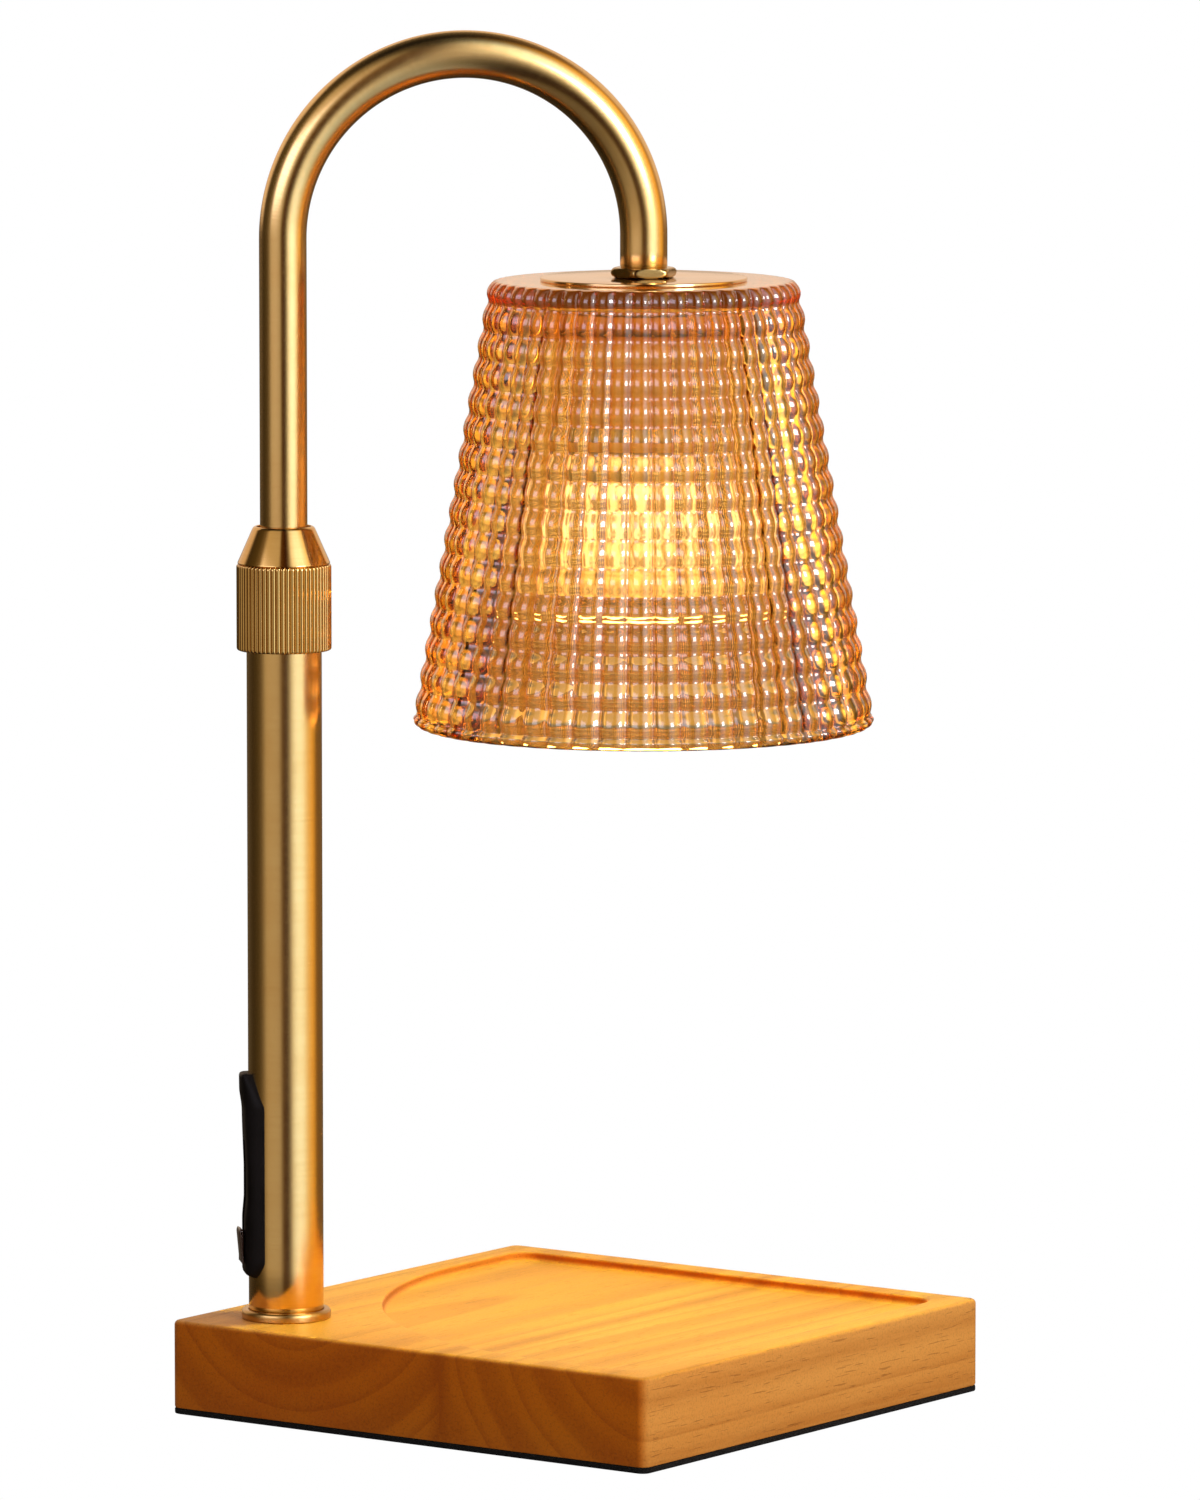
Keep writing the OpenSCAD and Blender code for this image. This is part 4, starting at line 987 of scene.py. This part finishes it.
# Stations of the hook in the column's frame: point, direction across the bend, and length so far
t = np.linspace(0, math.pi, 97)
climb = np.array([ARM_FOOT, ARM_FOOT + 0.3, 200.0, 250.0])
drop = np.array([(BEND_Z + ARM_END) / 2, ARM_END + 0.3, ARM_END])
x = np.concatenate([0 * climb, BEND_R - BEND_R * np.cos(t), REACH + 0 * drop])
z = np.concatenate([climb, BEND_Z + BEND_R * np.sin(t), drop])
nx = np.concatenate([0 * climb - 1, -np.cos(t), 0 * drop + 1])
nz = np.concatenate([0 * climb, np.sin(t), 0 * drop])
run = np.concatenate([[0], np.cumsum(np.hypot(np.diff(x), np.diff(z)))])
around_arm = np.linspace(0, 2 * math.pi, ARM_COLUMNS, endpoint=False)
arm_walls = []
for r, ends in ((ARM_R, 0.25), (ARM_BORE_R, -0.15)):
    radius = np.full((len(x), 1), r)
    radius[[0, -1]] -= ends
    side = radius * np.cos(around_arm)
    arm_walls.append(at_column(np.stack([
        x[:, None] + nx[:, None] * side, radius * np.sin(around_arm), z[:, None] + nz[:, None] * side], 2)))
arm_rows = np.concatenate([arm_walls[0], arm_walls[1][::-1]])
arm_faces = grid_faces(len(arm_rows), ARM_COLUMNS, wrap_rows=True)
arm = object_from("arm_tube_brass", arm_rows.reshape(-1, 3), arm_faces)
# The same points with the tube straight and upright, for scratches that follow the bend
straight = np.stack(np.broadcast_arrays(
    ARM_R * np.cos(around_arm), ARM_R * np.sin(around_arm), np.concatenate([run, run[::-1]])[:, None]), 2)
layer = arm.data.attributes.new("straight", "FLOAT_VECTOR", "POINT")
layer.data.foreach_set("vector", (straight * MM).astype(np.float32).ravel())
face_outwards(arm)
arm.data.set_sharp_from_angle(angle=math.radians(40))
brass_arm = brushed("brushed_brass_arm", BRASS, BRASS_DEEP, 0.19, 0.27, 0.35, attribute="straight")
arm.data.materials.append(brass_arm)
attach(arm, "arm")
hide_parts("arm_tube")

sheath, tree, shader = material("silicone_sheath", Roughness=0.55)
feed(tree, shader, Normal=bump(tree, speckle(tree, 1800.0), 0.00004, 0.5),
     Base_Color=ramp(tree, speckle(tree, 90.0), [(0.3, (0.70, 0.67, 0.60)), (0.7, (0.80, 0.78, 0.72))]))
finish_nodes(zinc, "arm_stop_ring", "retaining_clip")
finish_nodes(sheath, "arm_lead")


# ---- shade fastening ---------------------------------------------------------------------------
# A chamfered hexagon nut on the arm's end presses a polished disc onto the glass. Below the glass
# follow a silicone gasket, a steel plate and the hollow nipple with its two nuts.

SHADE_XY = COLUMN_XY + REACH / math.sqrt(2)
PLATE_R = 26.25
PLATE_TOP = 287.8
GLASS_TOP = 286.9
NIPPLE_HOLE_R = 5.15
COLLAR_AF = 15.0
COLLAR_BORE_R = 5.02
# How far the rounding of its corners reaches, along the nut and into it
COLLAR_ROUND_H = 1.4
COLLAR_ROUND_R = 1.7
COLLAR_TURN = OUTWARDS + math.radians(3)
COLLAR_COLUMNS = 240

# The hexagon is cut by a turned limit, which rounds its corners towards both faces
collar_z = np.array([*(PLATE_TOP + np.array([0, 0.1, 0.3, 0.55, 0.9, 1.25, 1.6, 1.95, 2.2, 2.4])), ARM_END])
turn = np.linspace(0, 2 * math.pi, COLLAR_COLUMNS, endpoint=False)
from_flat = (turn - COLLAR_TURN) % (math.pi / 3) - math.pi / 6
hexagon = COLLAR_AF / 2 / np.cos(from_flat)
edge_gap = np.minimum(collar_z - PLATE_TOP, ARM_END - collar_z)
rounding = 1 - np.sqrt(np.clip(1 - (1 - np.clip(edge_gap / COLLAR_ROUND_H, 0, 1)) ** 2, 0, 1))
turned_limit = COLLAR_AF / 2 / math.cos(math.pi / 6) - COLLAR_ROUND_R * rounding
collar_r = soft_min(hexagon[None, :], turned_limit[:, None], 0.4)
collar_rows = np.concatenate([
    around_axis(SHADE_XY, collar_r, turn, collar_z),
    turned_rows(
        [(COLLAR_BORE_R + 0.08, ARM_END), (COLLAR_BORE_R, ARM_END - 0.15), (COLLAR_BORE_R, PLATE_TOP)],
        COLLAR_COLUMNS, SHADE_XY),
])
dark_brass = brushed("antique_brass", (0.50, 0.35, 0.15), (0.30, 0.19, 0.07), 0.10, 0.2, 0.2)
collar = closed_skin("collar_nut_brass", collar_rows, dark_brass)
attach(collar, "arm")
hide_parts("collar_nut")

plate_profile = closed_rounded(
    [(NIPPLE_HOLE_R, GLASS_TOP), (PLATE_R, GLASS_TOP), (PLATE_R, PLATE_TOP), (NIPPLE_HOLE_R, PLATE_TOP)],
    [0.1, 0.3, 0.35, 0.1])
mirror_brass = brushed("mirror_brass", (0.82, 0.56, 0.30), (0.74, 0.47, 0.22), 0.07, 0.13, 0.12)
plate = closed_skin("shade_disc", turned_rows(plate_profile, 160, SHADE_XY), mirror_brass, 40)
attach(plate, "arm")
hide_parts("shade_plate")

silicone, tree, shader = material(
    "silicone", Roughness=0.5, Subsurface_Weight=0.3, Subsurface_Radius=(0.002, 0.0015, 0.001),
    Subsurface_Scale=1.0)
feed(tree, shader, Base_Color=ramp(
    tree, speckle(tree, 200.0), [(0.3, (0.72, 0.66, 0.58)), (0.7, (0.80, 0.76, 0.70))]))
finish_nodes(silicone, "shade_gasket")
finish_nodes(zinc, "pressure_plate", "shade_nipple", "m10_nuts")


# ---- glass shade -------------------------------------------------------------------------------
# Pressed amber glass, 118 mm across its mouth. The mould leaves 52 columns and 16 rows of pillow
# beads outside and a smooth wall inside. Its lowest and top rows are tinted darker and its grooves
# deeper orange, both painted shade, and its top rows carry a faint painted glow.

SHADE_H = 113.4
GROOVE_TOP_R = 38.1
SLOPE = (118.0 - 78.4) / 2 / SHADE_H
BEAD_H = 1.1
BEAD_COLUMNS = 52
# From the top down: a shorter row, the full rows, and a plain lip round the mouth
RIM_ROW = 5.4
BEAD_ROWS = 15
ROW_PITCH = 7.0
GLASS_T = 3.6
GLASS_HOLE_R = 16.0
SHOULDER_R = 4.0
# The beads start this far below the top, where its rounded edge ends
TOP_EDGE = 0.9
BEAD_STEPS = 10
COLUMN_SWING = math.radians(50)
COLUMN_GROOVE = 0.12
ROW_SWING = math.radians(26)
ROW_GROOVE = 0.33


def groove_r(depth):
    """Radius of the glass under its beads, at a depth below its top."""
    return GROOVE_TOP_R + SLOPE * depth


def bead_drop(at, swing, groove):
    """How far a bead falls away from its crest, in half pitches, at places from 0 to 1 across one
    pitch: an arc of that swing over the crest meets a hollow arc, the groove's share of the pitch."""
    off = np.abs(2 * np.mod(at, 1) - 1)
    crest, hollow = (1 - groove) / math.sin(swing), groove / math.sin(swing)
    over = crest - np.sqrt(crest**2 - np.minimum(off, 1 - groove) ** 2)
    under = math.tan(swing / 2) - hollow + np.sqrt(hollow**2 - np.minimum(1 - off, groove) ** 2)
    return np.where(off < 1 - groove, over, under)


step = 0.5 - 0.5 * np.cos(math.pi * np.arange(BEAD_STEPS) / BEAD_STEPS)
bead_turn = np.concatenate([k + step for k in range(BEAD_COLUMNS)]) / BEAD_COLUMNS * 2 * math.pi + OUTWARDS
column_drop = np.tile(bead_drop(step, COLUMN_SWING, COLUMN_GROOVE), BEAD_COLUMNS)
row_fall = bead_drop(step, ROW_SWING, ROW_GROOVE)
mouth_z = GLASS_TOP - SHADE_H
foot = groove_r(SHADE_H) + BEAD_H
rim = groove_r(0) + BEAD_H
ceiling = GLASS_TOP - GLASS_T
# Stations of the skin, from the mouth up the outside and down the inside: crest radius, height, and
# how deep the columns are there
skin = [(foot - inwards, mouth_z + up, depth) for inwards, up, depth in (
    (3.9, 0.0, 0.0), (3.0, 0.05, 0.25), (2.1, 0.25, 0.5), (1.3, 0.65, 0.7), (0.75, 1.2, 0.8),
    (0.5, 1.8, 0.85), (0.62, 2.4, 0.85))]
row_tops = [(RIM_ROW + row * ROW_PITCH, ROW_PITCH) for row in reversed(range(BEAD_ROWS))]
for top, pitch in row_tops + [(0.0, RIM_ROW)]:
    for s, fall in zip(step, row_fall):
        deep = top + (1 - s) * pitch
        if deep > TOP_EDGE:
            skin.append((groove_r(deep) + BEAD_H - fall * ROW_PITCH / 2, GLASS_TOP - deep, 1.0))
skin += [(rim - inwards, GLASS_TOP - deep, depth) for inwards, deep, depth in (
    (0.55, 0.8, 0.9), (0.85, 0.4, 0.7), (1.4, 0.12, 0.4), (2.2, 0.0, 0.15), (3.2, 0.0, 0.0))]
skin += [(GLASS_HOLE_R + out, z, 0.0) for out, z in (
    (6.0, GLASS_TOP), (0.3, GLASS_TOP), (0.0, GLASS_TOP - 0.3), (0.0, ceiling + 0.3), (0.3, ceiling),
    (8.0, ceiling))]
for t in np.linspace(0, math.pi / 2, 7):
    deep = GLASS_T + SHOULDER_R * (1 - math.cos(t))
    skin.append((groove_r(deep) - GLASS_T - SHOULDER_R * (1 - math.sin(t)), GLASS_TOP - deep, 0.0))
for deep in np.linspace(GLASS_T + 8, SHADE_H - 3, 5):
    skin.append((groove_r(deep) - GLASS_T, GLASS_TOP - deep, 0.0))
inner_foot = groove_r(SHADE_H) - GLASS_T
skin += [(inner_foot - 0.1, mouth_z + 1.2, 0.0), (inner_foot + 0.15, mouth_z + 0.3, 0.0)]
skin = np.array(skin)
skin_r = skin[:, :1] * (1 - skin[:, 2:] * column_drop * math.pi / BEAD_COLUMNS)
shade_rows = around_axis(SHADE_XY, skin_r, bead_turn, skin[:, 1])
shade_faces = grid_faces(len(shade_rows), len(bead_turn), wrap_rows=True)
shade = object_from("beaded_shade", shade_rows.reshape(-1, 3), shade_faces)
# How deep in the grooves each vertex lies, from 0 on a crest to 1, for the painted shade that deepens the
# grooves' colour
deep = GLASS_TOP - skin[:, 1]
in_row = np.where(deep < RIM_ROW, deep / RIM_ROW, (deep - RIM_ROW) / ROW_PITCH) % 1
row_share = np.where(skin[:, 2] > 0.99, bead_drop(in_row, ROW_SWING, ROW_GROOVE) / row_fall[0], 0)
groove = 1 - (1 - skin[:, 2:] * (column_drop / column_drop.max()) ** 2) * (1 - 0.4 * row_share[:, None] ** 2)
layer = shade.data.attributes.new("groove", "FLOAT", "POINT")
layer.data.foreach_set("value", groove.astype(np.float32).ravel())
face_outwards(shade)


def share_of_height(tree, foot, top):
    """How far up between two heights in millimetres, from 0 to 1."""
    height = axes_of(tree, place_on(tree))["Z"]
    return add(tree, "MapRange", {0: height, 1: foot * MM, 2: top * MM, 3: 0.0, 4: 1.0}).outputs[0]


amber, tree, shader = material(
    "amber_glass", Base_Color=(1.0, 0.95, 0.88), Roughness=0.02, IOR=1.5, Transmission_Weight=1.0,
    Coat_Weight=0.6, Coat_Roughness=0.05, Coat_IOR=1.9, Emission_Strength=1.0)
waves = speckle(tree, 240.0, 2.0)
up_shade = share_of_height(tree, mouth_z, GLASS_TOP)
# Painted shade by height: the lowest and the top rows are tinted darker, the middle rows nearly clear
painted_row_shade = ramp(tree, up_shade, [
    (0.0, (0.85, 0.75, 0.66)), (0.26, (0.85, 0.73, 0.62)), (0.34, (1.0, 0.97, 0.92)),
    (0.87, (1.0, 0.97, 0.90)), (0.90, (0.92, 0.68, 0.46)), (1.0, (0.92, 0.68, 0.46)),
])
# Painted shade: the glass turns deeper orange and brown towards the bottom of its grooves
painted_groove_shade = ramp(tree, add(tree, "Attribute", attribute_name="groove").outputs["Fac"], [
    (0.0, (1.0, 1.0, 1.0)), (0.15, (1.0, 0.97, 0.93)), (0.6, (0.92, 0.66, 0.36)), (1.0, (0.80, 0.42, 0.16))])
# Painted glow: the top rows of the glass give off a faint warm light, as if light ran through the glass to
# them
painted_edge_glow = ramp(tree, up_shade, [(0.93, 0.0), (0.955, (0.045, 0.020, 0.003))])
feed(tree, shader, Base_Color=tint(tree, painted_row_shade, painted_groove_shade), Emission_Color=painted_edge_glow,
     Normal=bump(tree, waves, 0.00012, 0.8))
# The volume tints the light by the length of its way. Lamps shine straight through, with the tint of one
# wall, and a path too long to follow ends in painted light, an emission of the mean colour of the glass.
absorb = add(tree, "VolumeAbsorption", {"Color": (0.985, 0.745, 0.06, 1), "Density": 235.0})
ray = add(tree, "LightPath").outputs
passing = add(tree, "BsdfTransparent", {"Color": (0.94, 0.74, 0.45, 1)})
painted_far_light = add(tree, "Emission", {"Color": (0.46, 0.21, 0.05, 1), "Strength": 1.0})
deep_ray = maths(tree, "GREATER_THAN", ray["Ray Depth"], 9.0)
glass = add(tree, "MixShader", {0: deep_ray, 1: shader.outputs[0], 2: painted_far_light.outputs[0]})
glass = add(tree, "MixShader", {0: ray["Is Shadow Ray"], 1: glass.outputs[0], 2: passing.outputs[0]})
output = tree.nodes["Material Output"]
tree.links.new(glass.outputs[0], output.inputs["Surface"])
tree.links.new(absorb.outputs[0], output.inputs["Volume"])
shade.data.materials.append(amber)
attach(shade, "arm")
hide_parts("glass_shade")


# ---- lampholder --------------------------------------------------------------------------------
# A spun brass cup hides the ceramic lampholder, which hangs from a bent steel bracket. Two sprung
# brass contacts sit at the top of its keyhole slots.

CUP_R = 20.75
CUP_TOP = 278.1
CUP_FOOT = 248.0
CUP_WALL = 0.8

cup_profile = closed_rounded(
    [(NIPPLE_HOLE_R, CUP_TOP), (CUP_R, CUP_TOP), (CUP_R, CUP_FOOT), (CUP_R - CUP_WALL, CUP_FOOT),
     (CUP_R - CUP_WALL, CUP_TOP - CUP_WALL), (NIPPLE_HOLE_R, CUP_TOP - CUP_WALL)],
    [0.1, 2.2, 0.3, 0.3, 1.4, 0.1], 6)
cup_brass = brushed("spun_brass_cup", (0.86, 0.62, 0.33), BRASS_DEEP, 0.25, 0.36, 0.4)
cup = closed_skin("holder_cup_brass", turned_rows(cup_profile, 96, SHADE_XY), cup_brass, 40)
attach(cup, "arm")
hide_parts("holder_cup")

ceramic, tree, shader = material("steatite", Roughness=0.6)
speck = speckle(tree, 900.0, 4.0)
feed(tree, shader, Base_Color=ramp(tree, speck, [(0.3, (0.70, 0.67, 0.60)), (0.6, (0.82, 0.80, 0.74))]),
     Normal=bump(tree, speck, 0.00006, 0.5))
finish_nodes(ceramic, "lampholder", "bulb_cap")
finish_nodes(zinc, "holder_bracket", "bracket_screws", "bulb_pins")
finish_nodes(bright_brass, "lamp_contacts")


# ---- bulb --------------------------------------------------------------------------------------
# A 50 mm halogen reflector bulb, lit. Its bowl is pressed glass with a mirror film that lets some
# warm light through to the back; a clear front glass closes it, and a quartz capsule glows inside.

BULB_R = 25.0
BULB_FACE = 207.6
BOWL_Z = 210.2
BOWL_FOOT_R = 24.4
NECK_R = 11.5
NECK_Z = 240.6
BOWL_WALL = 1.2
BOWL_FLUTES = 36
BOWL_COLUMNS = 6 * BOWL_FLUTES
# Share of the radius
FLUTE_DEPTH = 0.007
LENS_R = 23.18
# The light's size in metres
BEAM_SIZE = 0.042
BEAM_ENERGY = 0.46
BEAM_COLOUR = (0.75, 1.0, 0.10)

# The bowl is a parabola. Only its outer wall is fluted, between its first and its last row.
h = np.linspace(0, 1, 28)
bowl = np.column_stack([NECK_R + (BOWL_FOOT_R - NECK_R) * np.sqrt(1 - h), BOWL_Z + (NECK_Z - BOWL_Z) * h])
bowl_line = np.concatenate([
    [(BULB_R - 0.25, BULB_FACE), (BULB_R, BULB_FACE + 0.25), (BULB_R, BOWL_Z - 0.2)], bowl,
    bowl[::-1] - np.array([BOWL_WALL, 0]), [(LENS_R + 0.02, BULB_FACE)]])
bowl_rows = turned_rows(bowl_line, BOWL_COLUMNS, SHADE_XY)
flute = FLUTE_DEPTH * np.abs(np.sin(np.linspace(0, math.pi * BOWL_FLUTES, BOWL_COLUMNS, endpoint=False)))
fluted = np.zeros((len(bowl_line), 1))
fluted[4:30] = 1
bowl_rows[..., :2] = SHADE_XY + (bowl_rows[..., :2] - SHADE_XY) * (1 - fluted * flute)[..., None]
reflector, tree, shader = material(
    "mirror_bowl", Metallic=0.75, Roughness=0.22, Base_Color=(0.85, 0.78, 0.66), Emission_Strength=2.8)
glow = ramp(tree, share_of_height(tree, BULB_FACE, NECK_Z), [
    (0.0, (0.10, 0.05, 0.015)), (0.05, (0.45, 0.26, 0.08)), (0.25, (0.8, 0.48, 0.22)),
    (0.55, (1.0, 0.70, 0.52)), (0.8, (1.0, 0.64, 0.40)), (1.0, (0.5, 0.26, 0.08))])
mottle = ramp(tree, speckle(tree, 150.0, 2.0), [(0.40, 0.12), (0.60, 1.0)])
facing = add(tree, "LayerWeight", {"Blend": 0.5}).outputs["Facing"]
rim_fall = ramp(tree, facing, [(0.0, 1.0), (0.5, 0.75), (0.85, 0.2), (1.0, 0.1)])
feed(tree, shader, Emission_Color=tint(tree, tint(tree, glow, mottle), rim_fall))
bulb_bowl = closed_skin("bulb_bowl", bowl_rows, reflector, 50)
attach(bulb_bowl, "bulb")
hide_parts("bulb_reflector")

lens_line = rounded(
    [(0.02, BULB_FACE + 0.05), (12.0, BULB_FACE + 0.15), (LENS_R - 0.3, BULB_FACE + 0.4),
     (LENS_R, BULB_FACE + 0.7), (LENS_R, BULB_FACE + 1.8), (LENS_R - 0.3, BULB_FACE + 2),
     (0.02, BULB_FACE + 2)],
    [0, 2, 0.2, 0.2, 0.1, 0.1, 0], 3)
front_glass, tree, shader = material(
    "front_glass", Roughness=0.12, IOR=1.47, Transmission_Weight=0.6, Base_Color=(1.0, 0.93, 0.80),
    Emission_Strength=7.0)
feed(tree, shader, Normal=bump(tree, speckle(tree, 600.0), 0.0001, 0.4),
     Emission_Color=ramp(tree, speckle(tree, 160.0), [(0.2, (1.0, 0.66, 0.30)), (0.8, (1.0, 0.76, 0.42))]))
lens = welded("bulb_front", [band(turned_rows(lens_line, 96, SHADE_XY))], front_glass, 50)
face_outwards(lens, fill=True)
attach(lens, "bulb")
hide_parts("bulb_lens")

quartz, tree, shader = material(
    "lit_quartz", Roughness=0.1, Transmission_Weight=0.5, Base_Color=(1, 0.95, 0.85), Emission_Strength=14.0)
feed(tree, shader, Emission_Color=ramp(
    tree, speckle(tree, 240.0), [(0.2, (1.0, 0.72, 0.38)), (0.8, (1.0, 0.85, 0.6))]))
finish_nodes(quartz, "bulb_capsule")

# What the bulb throws down on the tray and on the inside of the glass
beam = area_light("bulb_beam", "DISK", BEAM_SIZE, BEAM_ENERGY, BEAM_COLOUR)
beam.location = (SHADE_XY * MM, SHADE_XY * MM, (BULB_FACE - 0.3) * MM)
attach(beam, "bulb")
